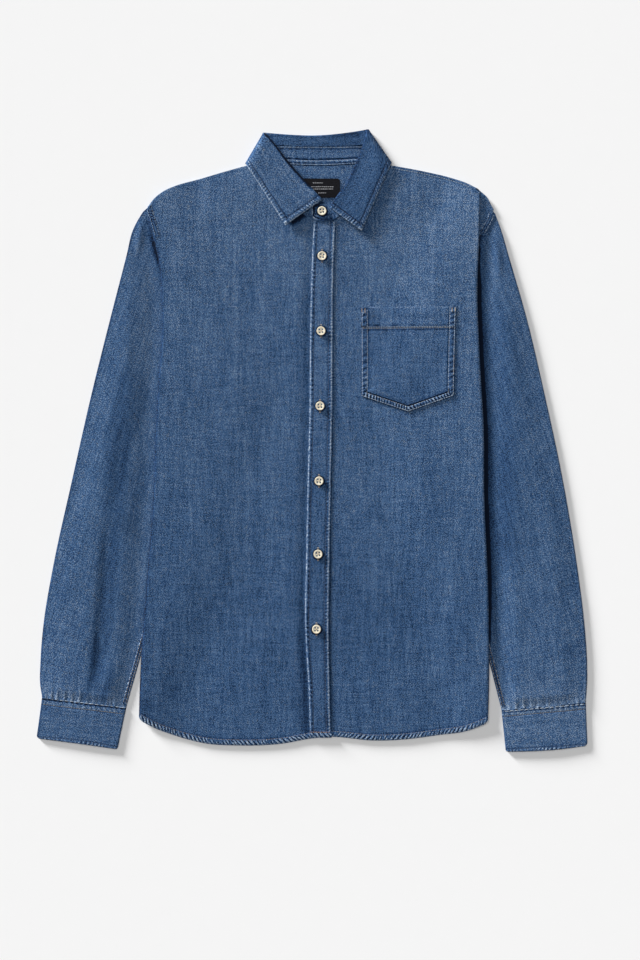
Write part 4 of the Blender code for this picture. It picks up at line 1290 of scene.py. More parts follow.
def sleeve_grid(side):
    """One sleeve as rings from the armhole seam down into the cuff."""
    rows, cuff_rows, cells = SLEEVE_CELLS
    shoulder, underarm, wrist = (np.array(point) for point in SLEEVE_SEAMS[side])
    along = underarm - shoulder
    lap = np.array([-along[1], along[0]]) / np.hypot(*along) * SLEEVE_LAP
    if lap[0] * side > 0:
        lap = -lap
    upper = np.linspace(0.0, SLEEVE_FINE_FROM, rows, endpoint=False)
    shares = np.concatenate([upper, np.linspace(SLEEVE_FINE_FROM, 1.0, cuff_rows)])
    outer = spaced(through(SLEEVE_FOLD[side]), shares)
    inner = spaced((underarm, wrist), shares)
    outer[0] += lap
    inner[0] += lap
    down = np.array(CUFF[side][2]) - np.array(CUFF[side][0])
    down = down / np.hypot(*down)
    outer[-1] += down * 1.5
    inner[-1] += down * 1.5
    cuff_line = np.array(CUFF[side][:2])

    def top_z(x, y):
        from_cuff, place = nearest(np.asarray(x, float), np.asarray(y, float), cuff_line)
        tuck = smooth(1.0 - from_cuff / SLEEVE_TUCK)
        z = sleeve_top_z(side, x, y)
        low = HALF + LAYER + 2.1
        z = z + (np.minimum(z, low) - z) * tuck
        gather = 0.5 * cuff_gathers(place, side) * np.exp(-from_cuff / 10.0)
        return z + gather * smooth((z - 3.0) / 1.0)

    rings = [flat_ring(o, i, top_z, HALF, cells, side) for o, i in zip(outer, inner)]
    return np.array(rings), top_z, outer, inner


def seam_strip(name, line, width, height, material, phase, rise=0.55, shear=0.0, pale=0.4):
    """A felled seam: a narrow strip of folded cloth with a stitched, puckered edge each side."""
    wall = cloth_wall()
    line = spaced(through(line), max(12, int(lengths(through(line))[-1] / 0.9)))
    ahead = directions(line)
    aside = np.stack([ahead[:, 1], -ahead[:, 0]], axis=1)
    shares = np.linspace(-0.5, 0.5, 13)
    grid = np.zeros((len(line), len(shares), 3))
    fade = np.zeros(grid.shape[:2])
    along = lengths(line)
    for j, share in enumerate(shares):
        slant = shear * share * width * (1.0 - np.linspace(0.0, 1.0, len(line)))
        plan = line + aside * share * width + ahead * slant[:, None]
        inside = (0.5 - abs(share)) * width
        edge_along = along + (3.0 if share > 0 else 0.0)
        edge_in = np.full(len(line), inside)
        edge_rise, edge_fade = stitched_edge(
            edge_in, edge_along, SEAM_STRIP_ROW, phase + share, 0.8, pale
        )
        centre = puckers(along + 1.4 * share * width, 3.6, phase) * hump(share, 0.25)
        settle = 0.5 * hump(inside, 0.7)
        grid[:, j, :2] = plan
        grid[:, j, 2] = height(plan[:, 0], plan[:, 1]) + rise + edge_rise - settle
        fade[:, j] = edge_fade + 0.3 * centre - 0.06
    over = np.broadcast_to(shares * width, fade.shape)
    grain = np.dstack([over, np.broadcast_to(along[:, None], fade.shape)])
    piece = cloth(name, grid, wall, grain, fade, material)
    top = on_top(grid, wall)
    return piece, [row_inside(top, edge, SEAM_STRIP_ROW) for edge in ("start", "end")]


def sleeve_grain(grid, outer, inner):
    """Place of each point of a sleeve in its flat cloth: across it, and down it."""
    along = lengths((outer + inner) / 2)[:, None]
    middle = (outer + inner)[:, None] / 2
    across = (inner - outer)[:, None]
    across = across / np.linalg.norm(across, axis=2, keepdims=True)
    over = ((grid[..., :2] - middle) * across).sum(axis=2)
    over = np.where(grid[..., 2] > 1.2, over, over + 300.0)
    return np.dstack([over, -np.repeat(along, grid.shape[1], axis=1)])


def sleeve_wear_light_and_shade(side, x, y):
    """How worn one sleeve is, and where shade and light are painted on it: at its cuff, beside the body
    and in its creases.
    """
    from_cuff, place = nearest(x, y, CUFF[side][:2])
    gather = cuff_gathers(place, side)
    # Painted light above the cuff, where the sleeve tucks down into it, and painted shade in the hollows
    # of the gathers
    end_light = 0.1 if side == RIGHT else 0.16
    fade = 0.5 * np.maximum(gather - 0.25, 0.0) * np.exp(-from_cuff / 7.0)
    fade = fade - 0.05 * np.maximum(-gather - 0.2, 0.0) * np.exp(-from_cuff / 12.0)
    fade = fade + 0.02 * np.exp(-from_cuff / 40.0) + end_light * np.exp(-from_cuff / 12.0)
    fade = fade - 0.12 * hump(from_cuff - 0.6, 0.9)
    beside = -inside_fold(side, x, y)
    below_shoulder = smooth((310.0 - y) / 25.0)
    if side == RIGHT:
        # Painted shade in the gap beside the body's fold and on the top fold, which faces the window;
        # painted light a little further out; painted shade in the valleys
        gap = hump(y - 250.0, 28.0)
        dark = (0.04 + 0.4 * gap) * smooth(1.0 - (beside - 1.2) / (2.0 + 4.2 * gap))
        from_fold = x - column(SLEEVE_FOLD[side], 1, y, 0)
        fade = fade + 0.012 - 0.34 * smooth(1.0 - from_fold / 3.2)
        lit = smooth((235.0 - y) / 30.0) * smooth((y - 60.0) / 40.0)
        fade = fade + 0.05 * hump(beside - 20.0, 12.0) * lit
        return fade - dark * below_shoulder + sum(shade_along(x, y, *row) for row in SLEEVE_SHADES)
    # Painted shade in the crevice beside the body's edge, and in a valley further out
    gap = smooth((238.0 - y) / 40.0) * smooth((y + 270.0) / 110.0)
    dark = (0.45 + 0.6 * gap) * smooth(1.0 - (beside - 1.0) / (2.2 + 3.0 * gap))
    dark = dark + (0.04 + 0.16 * gap) * smooth(1.0 - beside / 18.0)
    valley = (0.07 + 0.05 * smooth((20.0 - y) / 60.0)) * smooth((200.0 - y) / 60.0)
    valley = valley * hump(beside - 28.0, 17.0) * smooth((y + 190.0) / 60.0)
    return fade - 0.005 - dark * below_shoulder - valley


def armhole_height(side):
    """Height of what an armhole strip lies on, at the shoulder end."""
    def on_left(x, y):
        return np.maximum(back_z(x, y), sleeve_top_z(side, x, y))

    def on_right(x, y):
        return front_z(x, y) - 3.2 * smooth(-inside_fold(side, x, y) / 9.0)

    return on_left if side == LEFT else on_right


def make_sleeves():
    """Both sleeves, with the felled seams that show along their inner edges."""
    material = denim_material()
    for side in (RIGHT, LEFT):
        name = SIDE_NAMES[side]
        grid, top_z, outer, inner = sleeve_grid(side)
        fade = sleeve_wear_light_and_shade(side, grid[..., 0], grid[..., 1])
        grain = sleeve_grain(grid, outer, inner)
        sleeve = cloth(f"sleeve_cloth_{name}", grid, cloth_wall(), grain, fade, material, ring=True)
        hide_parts(f"sleeve_{name}")
        arm, wrist = np.array(SLEEVE_SEAMS[side][1:])
        down = (wrist - arm) / np.hypot(*(wrist - arm))
        outward = np.array([down[1], -down[0]])
        if outward[0] * side < 0:
            outward = -outward
        line = [wrist + outward * 3.9 - down * step for step in (108.0, 70.0, 35.0, 2.0)]
        seam, rows = seam_strip(f"sleeve_seam_{name}", line, 5.8, top_z, material, 0.4 + side)
        armhole, armhole_rows = seam_strip(
            f"armhole_seam_{name}", ARMHOLE_STRIP[side], 7.6, armhole_height(side), material,
            1.3 + side, 0.5, ARMHOLE_SHEAR[side], 0.3 if side == RIGHT else 0.6,
        )
        sewn = stitches(f"sleeve_stitching_{name}", rows, thread("tan"))
        armhole_sewn = stitches(
            f"armhole_stitching_{name}", armhole_rows, thread("pale"), radius=0.24, length=1.7,
            gap=1.3,
        )


def cuff_grid(side):
    """One cuff as rings from its seam down to its foot, and how far down each ring stands."""
    rows, cells = CUFF_CELLS
    top_outer, top_inner, low_outer, low_inner = (np.array(point) for point in CUFF[side])
    floor_z = CUFF_SOLID_WALL / 2

    def top_z(x, _):
        over = np.clip((x - top_outer[0]) / (top_inner[0] - top_outer[0]), 0.0, 1.0)
        crown = CUFF_EDGE + (CUFF_CROWN - CUFF_EDGE) * np.sin(math.pi * over)
        return floor_z + CUFF_SOLID_WALL + GAP + crown

    place = np.linspace(0.0, 1.0, rows + 1)
    share = np.interp(place, *CUFF_SPACING)[:, None]
    outer = top_outer + (low_outer - top_outer) * share
    inner = top_inner + (low_inner - top_inner) * share
    across = (inner - outer) / np.linalg.norm(inner - outer, axis=1, keepdims=True)
    from_foot = (1.0 - share) * np.linalg.norm(low_outer - top_outer)
    for edge, radius, way in ((outer, CUFF_CORNER[0], 1), (inner, CUFF_CORNER[1], -1)):
        rest = radius - np.minimum(from_foot, radius)
        edge += way * across * (radius - np.sqrt(np.square(radius) - np.square(rest)))
    middle = np.array([flat_ring(o, i, top_z, floor_z, cells, side) for o, i in zip(outer, inner)])
    reach = np.clip((middle[..., 0] - low_outer[0]) / (low_inner[0] - low_outer[0]), 0.0, 1.0)
    start, end, bow = CUFF_FOOT[side]
    middle[..., 1] += (start + (end - start) * reach + bow * np.sin(math.pi * reach)) * share**2
    return middle, share


def cuff_seam_fade(side, along, head_in):
    """The worn and dark dashes along a cuff's seam, and the pale band below them."""
    dashes = broken(along, 7.4, 2.2 * side, 0.6, 0.9)
    gaps = broken(along, 6.1, 1.0 + side, 0.65, 0.7, 0.15)
    fade = 0.5 * (0.3 + 0.7 * dashes) * hump(head_in - 0.6, 0.8)
    fade = fade - 0.75 * gaps * hump(head_in - 2.0, 0.9)
    fade = fade + 0.06 * smooth((head_in - 2.5) / 1.5) * smooth((9.5 - head_in) / 1.5)
    fade = fade + 0.05 * hump(head_in - 7.0, 2.0)
    if side == LEFT:
        fade = fade + 0.6 * dashes * hump(head_in - 2.9, 0.8) - 0.5 * gaps * hump(head_in - 4.4, 0.9)
    return fade


def cuff_end_shade(side, middle):
    """Painted shade on the left end of a cuff, which dims the end towards the window."""
    top, low = (CUFF[side][0], CUFF[side][2]) if side == RIGHT else (CUFF[side][1], CUFF[side][3])
    edge_x = np.interp(middle[..., 1], [low[1], top[1]], [low[0], top[0]])
    return -0.3 * smooth(1.0 - (middle[..., 0] - edge_x) / 3.0)


def make_cuffs():
    """Both cuffs: flattened bands with a seam above and topstitching round them."""
    wall = fused_wall()
    cells = CUFF_CELLS[1]
    for side in (RIGHT, LEFT):
        name = SIDE_NAMES[side]
        middle, share = cuff_grid(side)
        foot_in, along = edge_place(middle, "top")
        head_in, _ = edge_place(middle, "foot")
        rise, fade = stitched_edge(foot_in, along, CUFF_FOOT_ROW, 0.5 + side, 0.6, 0.0, 4.6)
        head_rise, head_fade = stitched_edge(head_in, along, 9.4, 2.5 + side, 0.8, 0.0, 6.6)
        wide = puckers(along, 15.0, 1.1 + side) * hump(head_in - 12.0, 9.0)
        out = normals(middle, ring=True)
        middle = middle + out * ((rise + head_rise + 0.18 * wide) * facing_up(out))[..., None]
        chips = np.clip(1.5 * puckers(along, 5.1, 0.9 * side + 1.0), -0.6, 1.0)
        fade = fade + 0.55 * head_fade * (head_in > 4.8) + cuff_seam_fade(side, along, head_in)
        fade = fade - 0.08 * hump(foot_in, 0.7) + 0.24 * chips * hump(foot_in - 1.8, 1.5)
        fade = fade + 0.03 * wide + (0.02 if side == RIGHT else 0.05) + cuff_end_shade(side, middle)
        grain = np.dstack([np.repeat(CUFF_DEPTH * share, middle.shape[1], axis=1), along])
        cuff = cloth(f"cuff_cloth_{name}", middle, wall, grain, fade, denim_material(), ring=True)
        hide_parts(f"cuff_{name}")
        upper = slice(0, cells + 1) if side == LEFT else slice(-(cells + 1), None)
        top = on_top(middle, wall, ring=True)[:, upper]
        first, second = (row_inside(top, "foot", inset) for inset in CUFF_SEAM_ROWS[side])
        foot = row_inside(top, "top", CUFF_FOOT_ROW)
        sewn = stitches(
            f"cuff_seam_stitching_{name}", [first], thread("pale"), radius=0.48, length=5.4, gap=1.2
        )
        sewn_tan = stitches(f"cuff_stitching_{name}", [second], thread("tan"), radius=0.24)
        sewn_blue = stitches(f"cuff_foot_stitching_{name}", [foot], thread("blue"))


def placket_z(x, y):
    """Middle of the placket's wall, without its stitching."""
    return front_z(x, y) + LAYER


def placket_wear_and_shade(x, y, from_free, from_sewn):
    """How worn the placket is, and where shade is painted on it: along its edges and rows, and round its
    buttons.
    """
    worn = 0.66 + 0.4 * puckers(y, 13.0, 0.4) + 0.25 * puckers(y, 4.3, 1.4)
    worn = np.clip(worn, 0.35, 0.95)
    fade = broad_tone(x, y) + 0.5 * worn * hump(from_free - 0.8, 0.8)
    fade = fade - 0.34 * broken(y, 6.3, 1.9, 0.4, 0.8) * hump(from_free - 3.6, 1.0)
    fade = fade + 0.42 * broken(y, 5.2, 2.6, 0.5, 0.9) * hump(from_sewn - 2.4, 0.9)
    fade = fade - 0.36 * broken(y, 4.1, 0.6, 0.5, 0.8) * hump(from_sewn - 5.0, 0.9)
    # Painted shadow along the sewn edge, and the painted shadow rings round the buttons
    fade = fade - 0.3 * smooth(1.0 - from_sewn / 1.3)
    return fade + sum(button_shade(x, y, button) for button in BUTTONS)


def make_placket():
    """The button placket: folded edges, puckered topstitching, its hem and its buttonholes."""
    wall = cloth_wall()
    material = denim_material()
    rows, cells = PLACKET_CELLS
    y = np.linspace(PLACKET[-1][0] + 1.0, PLACKET[0][0], rows + 1)
    free, sewn = column(PLACKET, 0, y, 1)[:, None], column(PLACKET, 0, y, 2)[:, None]
    share = np.linspace(0.0, 1.0, cells + 1)[None, :]
    share = 0.4 * share + 0.3 * (1.0 - np.cos(math.pi * share))
    x = free + (sewn - free) * share
    y = np.repeat(y[:, None], cells + 1, axis=1)
    from_free, from_sewn = x - free, sewn - x
    free_rise, free_fade = stitched_edge(from_free, y, PLACKET_FREE_ROW, 0.2, 0.7, 0.0)
    sewn_rise, sewn_fade = stitched_edge(from_sewn, y, PLACKET_SEWN_ROW, 1.9, 0.9, 0.0, 4.4)
    fade = 0.6 * free_fade + 0.75 * sewn_fade + placket_wear_and_shade(x, y, from_free, from_sewn)
    middle = np.dstack([x, y, placket_z(x, y) + free_rise + sewn_rise])
    placket = cloth("placket_cloth", middle, wall, middle[..., :2], fade, material)
    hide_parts("placket")
    low_y, low_free, low_sewn = PLACKET[-1]
    hem_line = [(low_free, low_y), ((low_free + low_sewn) / 2, low_y - 0.3), (low_sewn, low_y)]
    hem, hem_row = hem_strip("hem_placket", hem_line, placket_z, material, 3.1)
    top = on_top(middle, wall)
    edge_row = row_inside(top, "end", PLACKET_EDGE_ROW)
    inner_rows = [row_inside(top, "start", PLACKET_FREE_ROW), row_inside(top, "end", PLACKET_SEWN_ROW)]
    sewing = stitches("placket_stitching", [edge_row], thread("pale"), radius=0.22)
    inner_sewing = stitches("placket_blue_stitching", inner_rows, thread("blue"))
    hem_sewing = stitches("placket_hem_stitching", [hem_row], thread("brown"), radius=0.48)
    holes = buttonholes(thread("tan"))


def buttonholes(material):
    """Upright worked buttonholes under the placket's buttons: a flat ring of satin stitches."""
    half_length, half_width = 8.2, 0.8
    rows = []
    for x, y in BUTTONS[1:]:
        for turn in np.linspace(0.0, 2.0 * math.pi, 46, endpoint=False):
            stretch = np.sign(math.cos(turn)) * min(abs(math.cos(turn)) * 1.5, 1.0)
            centre = np.array([x + half_width * math.sin(turn), y + half_length * stretch])
            out = np.array([math.sin(turn), 0.55 * stretch * (abs(stretch) == 1.0)])
            out = out / max(np.hypot(*out), 0.2)
            ends = (centre - out * 0.55, centre + out * 0.85)
            rows.append(np.array([(*end, float(placket_z(*end)) + 0.5) for end in ends]))
    return stitches("buttonholes", rows, material, radius=0.3, length=1.2, gap=0.05, sink=0.5)


def pocket_z(x, y):
    """Middle of the pocket's wall, without its stitching."""
    return front_z(x, y) + LAYER + 0.1


def pocket_plan():
    """The pocket's outline as a grid, its rows closer together near the foot and the hem."""
    rows, columns = POCKET_CELLS
    heights = np.interp(np.linspace(0.0, 1.0, rows + 1), *POCKET_SPACING)
    up = heights[:, None, None]
    over = np.linspace(0.0, 1.0, columns + 1)
    plan = spaced(POCKET_FOOT, over)[None] * (1.0 - up) + spaced(POCKET_TOP, over)[None] * up
    for edge in (0, -1):
        plan[:, edge] = spaced((POCKET_FOOT[edge], POCKET_TOP[edge]), heights)
    return plan


def pocket_hem(from_top, over):
    """Rise and fade that the deep hem gives the pocket's top."""
    rise = 0.5 * hump(from_top - POCKET_HEM + 5.0, 5.0) - 0.5 * hump(from_top - POCKET_HEM, 1.0)
    blotch = np.maximum(puckers(over, 21.0, 0.8), 0.0) * hump(from_top - POCKET_HEM + 3.5, 2.6)
    return rise, lines_at(from_top, POCKET_HEM_LINES) - 0.26 * blotch


def make_pocket():
    """The pointed patch pocket: a deep top hem, and two rows of stitching round the rest."""
    wall = cloth_wall()
    plan = pocket_plan()
    x, y = plan[..., 0], plan[..., 1]
    inside, along = nearest(x, y, [POCKET_TOP[0], *POCKET_FOOT, POCKET_TOP[1]])
    from_top, over = nearest(x, y, POCKET_TOP)
    foot_x, foot_y = np.array(POCKET_FOOT).T
    low = y < np.interp(x, foot_x, foot_y + 12.0)
    rise, fade = stitched_edge(inside, along, POCKET_SIDE_ROW, 0.9, 0.75, 0.0, 7.4)
    low_rise, low_fade = stitched_edge(inside, along, POCKET_FOOT_ROW, 1.9, 1.45, 0.0, 4.0)
    rise, fade = np.where(low, low_rise, rise), np.where(low, 1.3 * low_fade - 0.06, fade)
    fade = fade - 0.1 * (0.6 + puckers(along, 9.0, 2.2)) * hump(inside - 4.6, 2.4)
    inner_rise, inner_fade = stitched_edge(inside, along + 2.0, POCKET_EDGE_ROW, 0.9, 0.5, 0.1)
    hem_rise, hem_fade = pocket_hem(from_top, over)
    lines = lines_at(inside, POCKET_LINES) + lines_at(inside, POCKET_SIDE_LINES) * (1 - low)
    # A painted shadow line along the pocket's very edge
    lines = (lines - 0.4 * smooth(1.0 - inside)) * (0.75 + 0.35 * puckers(along, 5.0, 0.6))
    tug = puckers(along, 44.0, 0.3) * hump(inside - 14.0, 12.0)
    z = pocket_z(x, y) + rise + inner_rise + hem_rise + 0.25 * tug
    z = z + 0.5 * hump(from_top - 8.0, 8.0) * smooth(inside / 14.0)
    fade = fade + inner_fade * 0.6 + hem_fade + lines * (from_top > 1.0)
    fade = fade + broad_tone(x, y) + 0.02 * tug - 0.03
    middle = np.dstack([x, y, z])
    pocket = cloth("pocket_cloth", middle, wall, plan, fade, denim_material())
    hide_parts("pocket")
    sewn = pocket_sewing(on_top(middle, wall))


def pocket_sewing(top):
    """Two rows round the pocket, its hem's rows, and the bar tacks at its upper corners."""
    start, foot, end = (row_inside(top, edge, POCKET_EDGE_ROW) for edge in ("start", "foot", "end"))
    hem_pale, hem_tan = (row_inside(top, "top", POCKET_HEM - back, 3, -3) for back in (1.6, 0.0))
    tan_from, tan_to = POCKET_TAN_ROW
    pale_rows = [
        start, foot, end[:tan_from], end[tan_to:], hem_pale,
        row_inside(top, "start", POCKET_SIDE_ROW, 7),
        row_inside(top, "end", POCKET_SIDE_ROW, 7),
        row_inside(top, "foot", POCKET_FOOT_ROW, 8, -8),
    ]
    tacks = [row_inside(top, edge, inset)[-10:] for edge in ("start", "end") for inset in (1.4, 5.5)]
    return [
        stitches("pocket_stitching", pale_rows, thread("pale"), radius=0.26),
        stitches("pocket_tan_stitching", [end[tan_from:tan_to], hem_tan], thread("tan")),
        stitches("pocket_bar_tacks", tacks, thread("button"), radius=0.4, length=1.5, gap=0.3),
    ]


def collar_section(row, roll_cells, fall_cells):
    """One section of the collar: seam, rise, roll and fall."""
    seam = np.array([row[0], row[1], row[6]])
    roll = np.array([row[2], row[3], row[7]])
    edge = np.array([row[4], row[5], row[8]])
    turn, radius = math.radians(row[9]), row[10]
    up = np.append(roll[:2] - seam[:2], 0.0)
    up = up / np.linalg.norm(up)
    outward = np.array([math.cos(turn), 0.0, math.sin(turn)])
    centre = roll - radius * up
    arc = [
        centre + radius * (up * math.sin(step) - outward * math.cos(step))
        for step in np.linspace(0.0, math.pi, roll_cells)
    ]
    rise = [seam + (arc[0] - seam) * share for share in np.linspace(0.0, 1.0, 7)[:-1]]
    share = np.linspace(0.0, 1.0, fall_cells + 1)[1:, None]
    fall = arc[-1] + (edge - arc[-1]) * share
    on_front = smooth((math.sin(turn) - 0.2) / 0.8)
    fall[:, 2] += LEAF_LIFT * on_front * smooth(share[:, 0])
    fall[:, 2] += 0.5 * on_front * np.sin(math.pi * share[:, 0])
    return np.concatenate([rise, arc, fall])


def make_collar():
    """The collar: it rises from the stand, rolls over, and falls outside it."""
    wall = fused_wall()
    stations, fall_cells = COLLAR_CELLS
    rows = sections(COLLAR, slice(2, 6), 2.0, stations)
    middle = np.array([collar_section(row, 9, fall_cells) for row in rows])[:, ::-1]
    outer_in, outer_along = edge_place(middle, "start")
    parts = [edge_place(middle, "foot"), edge_place(middle, "top")]
    on_leaf = smooth((middle[:, :1, 2] - 6.5) / 1.5)
    strength = np.where(middle[:, :1, 0] > 20.0, 0.75, 1.0) * on_leaf
    rise, fade = stitched_edge(outer_in, outer_along, 6.6, 0.4, strength, 0.6, 3.9)
    for (front_in, front_along), phase in zip(parts, (1.2, 2.9)):
        more, worn = stitched_edge(front_in, front_along, 6.6, phase, 1.05, 0.5, 3.7)
        rise = rise + more
        fade = fade + worn
    across = np.arange(middle.shape[1])[None, :]
    on_fall = (across < fall_cells + 4).astype(float)
    out = normals(middle)
    middle = middle + out * (rise * on_fall * facing_up(out))[..., None]
    tips = np.minimum(parts[0][0], parts[1][0])
    fade = fade * on_fall + 0.3 * hump(np.hypot(tips, outer_in), 5.0) * on_fall * on_leaf
    x = middle[..., 0]
    # Painted shade on the leaf on the wearer's left, which turns away from the window; the other leaf a
    # touch paler
    fade = fade + 0.02 * (x < 0) * on_fall - 0.065 * (x > 0) * on_fall
    fade = fade - 0.13 * (1.0 - on_leaf) * on_fall * smooth(-x / 20.0)
    fade = fade - 0.08 * (1.0 - on_leaf) * (1.0 - on_fall)
    from_roll = np.abs(across - fall_cells - 4)
    # Painted shade dims the roll of the leaf on the wearer's left, which faces the window, and darkens
    # the roll and inner strip of the leaf on the wearer's right, on the side away from the window
    fade = fade - 0.2 * hump(from_roll, 5.0) * smooth((x - 10.0) / 10.0)
    fade = fade - 0.55 * smooth((across - fall_cells + 2.0) / 3.0) * smooth(-x / 8.0) * on_leaf
    grain = np.dstack(edge_place(middle, "end"))
    collar = cloth("collar_cloth", middle, wall, grain, fade, denim_material())
    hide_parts("collar")
    leaf = on_top(middle, wall)[:, : fall_cells + 2]
    behind = np.flatnonzero(on_leaf[:, 0] < 0.5)
    sewing_rows = [
        row_inside(leaf, "start", COLLAR_ROW, 6, behind[0]),
        row_inside(leaf, "start", COLLAR_ROW, behind[-1], -6),
        row_inside(leaf, "foot", COLLAR_ROW, 4, -3),
        row_inside(leaf, "top", COLLAR_ROW, 4, -3),
    ]
    sewing = stitches("collar_stitching", sewing_rows, thread("blue"))


def stand_wear_and_shade(x, y, along, low_in, high_in, end_in):
    """How worn the stand is, and where shade is painted on it: its lines behind the neck, and its
    buttoned end.
    """
    at_back = smooth((y - 345.0) / 10.0)
    at_front = (1.0 - at_back) * smooth((x + 6.0) / 4.0)
    lines = lines_at(low_in, STAND_LOW_LINES) + lines_at(high_in, STAND_HIGH_LINES)
    lines = (lines - 0.6 * smooth(1.0 - high_in / 1.5)) * (0.7 + 0.4 * puckers(along, 11.0, 0.9))
    mottle = 0.07 * puckers(along, 5.3, 1.2) * hump(high_in - 9.0, 4.0)
    outline = np.minimum(end_in, np.minimum(high_in, low_in))
    chips = 0.26 * np.maximum(puckers(x - y, 4.6, 0.7), 0.0) * hump(outline - 5.0, 2.4)
    round_end = (lines_at(outline, STAND_END_LINES) + chips) * smooth((9.0 - x) / 5.0)
    dashes = (0.6 + 0.6 * puckers(along, 4.4, 0.3)) * hump(low_in - 1.6, 2.2)
    dashes = dashes * smooth((x - 2.0) / 4.0) * smooth((30.0 - x) / 4.0)
    # Painted shadow ring of the first button, and painted shadow under the collar leaf's edge
    shade = button_shade(x, y, BUTTONS[0]) + shade_along(x, y, STAND_UNDER_LEAF, 2.2, 0.4)
    return (lines + mottle) * at_back + (round_end - 0.5 * dashes + shade) * at_front + 0.02


def make_stand():
    """The collar stand, stitched along both edges and round its buttoned end."""
    wall = cloth_wall()
    stations, cells = STAND_CELLS
    rows = sections(STAND, slice(0, 4), 1.0, stations)
    share = np.linspace(0.0, 1.0, cells + 1)[None, :, None]
    lower, upper = rows[:, None, [0, 1, 4]], rows[:, None, [2, 3, 4]]
    middle = (lower + (upper - lower) * share)[:, ::-1]
    low_in, along = edge_place(middle, "end")
    high_in, _ = edge_place(middle, "start")
    end_in, end_along = edge_place(middle, "top")
    rise, fade = stitched_edge(low_in, along, 7.4, 0.6, 0.8, 0.0)
    high_rise, high_fade = stitched_edge(high_in, along, 2.4, 1.6, 0.8, 0.0)
    end_rise, end_fade = stitched_edge(end_in, end_along, 3.4, 2.6, 0.8, 0.5)
    out = normals(middle)
    middle = middle + out * ((rise + high_rise + end_rise) * facing_up(out))[..., None]
    fade = 0.6 * fade + 0.5 * high_fade + end_fade
    fade = fade + stand_wear_and_shade(middle[..., 0], middle[..., 1], along, low_in, high_in, end_in)
    grain = np.dstack([low_in, along])
    stand = cloth("stand_cloth", middle, wall, grain, fade, wrong_side_material())
    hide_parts("stand")
    top = on_top(middle, wall)
    rows = [row_inside(top, edge, inset) for edge, inset in STAND_ROWS]
    sewing = stitches("stand_stitching", rows, thread("pale"), radius=0.2)


def make_label():
    """The black woven label inside the neck, with a few plain lines."""
    colours = bpy.context.scene.shirt_colours
    (x0, x1), (y0, y1) = LABEL_SPAN
    corner, wall = 4.0, 0.5
    x, y = np.meshgrid(np.linspace(x0, x1, 53), np.linspace(y0, y1, 27))
    deep_x = np.clip(np.minimum(x - x0, x1 - x), 0.0, corner)
    round_in = corner - np.sqrt(np.maximum(corner**2 - (corner - deep_x) ** 2, 0.0))
    middle_y = (y0 + y1) / 2
    y = middle_y + (y - middle_y) * (1.0 - round_in / (y1 - middle_y))
    z = back_z(x, y) + HALF + 0.4 + 0.35 * hump(y - y0 - 8.0, 9.0) + 0.1 * np.sin(x / 7.0)
    middle = np.dstack([x, y, z])
    label = cloth("label_cloth", middle, wall, np.dstack([x, y]), 0.0, label_material())
    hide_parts("neck_label")
    rows = []
    for line_x, line_y, length in LABEL_LINES:
        line = spaced(((line_x, line_y), (line_x + length, line_y)), 20)
        base = back_z(line[:, 0], line[:, 1]) + HALF + 0.4 + 0.25
        base = base + 0.35 * hump(line[:, 1] - y0 - 8.0, 9.0) + 0.1 * np.sin(line[:, 0] / 7.0)
        rows.append(np.column_stack([line, base]))
    pale = thread_material("label_thread", colours.label_line)
    lines = stitches("label_lines", rows, pale, radius=0.34, length=2.4, gap=0.3)


def select_near(mesh, test):
    """Selects the faces of the mesh in edit mode whose middle and normal pass a test."""
    edit = bmesh.from_edit_mesh(mesh)
    for face in edit.faces:
        face.select_set(bool(test(face.calc_center_median(), face.normal)))
    edit.select_flush_mode()
    bmesh.update_edit_mesh(mesh)


def button_blank():
    """One button as by hand: a disc with a rolled rim, a dished face and four holes."""
    sizes = bpy.context.scene.shirt_sizes
    radius = sizes.button_radius
    bpy.ops.object.select_all(action="DESELECT")
    bpy.ops.mesh.primitive_cylinder_add(
        vertices=48, radius=radius, depth=BUTTON_RIM * MM, end_fill_type="NGON",
        location=(0.0, 0.0, BUTTON_RIM * MM / 2),
    )
    button = bpy.context.active_object
    bpy.ops.object.transform_apply(location=True, rotation=True, scale=True)
    bpy.ops.object.mode_set(mode="EDIT")
    bpy.ops.mesh.select_mode(type="FACE")
    bpy.ops.mesh.select_all(action="DESELECT")
    select_near(button.data, lambda middle, normal: normal.z > 0.9)
    bpy.ops.mesh.inset(thickness=radius * 0.22, depth=0.0)
    bpy.ops.mesh.inset(thickness=radius * 0.12, depth=-0.0004)
    bpy.ops.mesh.inset(thickness=radius * 0.2, depth=-0.0001)
    bpy.ops.object.mode_set(mode="OBJECT")
    edges = button.modifiers.new("edges", "BEVEL")
    edges.width = 0.0005
    edges.segments = 3
    edges.limit_method = "ANGLE"
    edges.angle_limit = math.radians(40.0)
    bpy.ops.object.modifier_apply(modifier="edges")
    cutters = []
    for x in (-1, 1):
        for y in (-1, 1):
            bpy.ops.object.select_all(action="DESELECT")
            bpy.ops.mesh.primitive_cylinder_add(
                vertices=14, radius=0.00112, depth=0.008,
                location=(x * 0.0018, y * 0.0018, BUTTON_RIM * MM / 2),
            )
            bpy.ops.object.transform_apply(location=True, rotation=True, scale=True)
            cutters.append(bpy.context.active_object)
    bpy.ops.object.select_all(action="DESELECT")
    for cutter in cutters:
        cutter.select_set(True)
    bpy.context.view_layer.objects.active = cutters[0]
    bpy.ops.object.join()
    holes = bpy.context.active_object
    bpy.ops.object.select_all(action="DESELECT")
    button.select_set(True)
    bpy.context.view_layer.objects.active = button
    cut = button.modifiers.new("holes", "BOOLEAN")
    cut.operation = "DIFFERENCE"
    cut.object = holes
    bpy.ops.object.modifier_apply(modifier="holes")
    bpy.data.objects.remove(holes, do_unlink=True)
    bpy.ops.object.shade_smooth_by_angle(angle=math.radians(35.0))
    return button


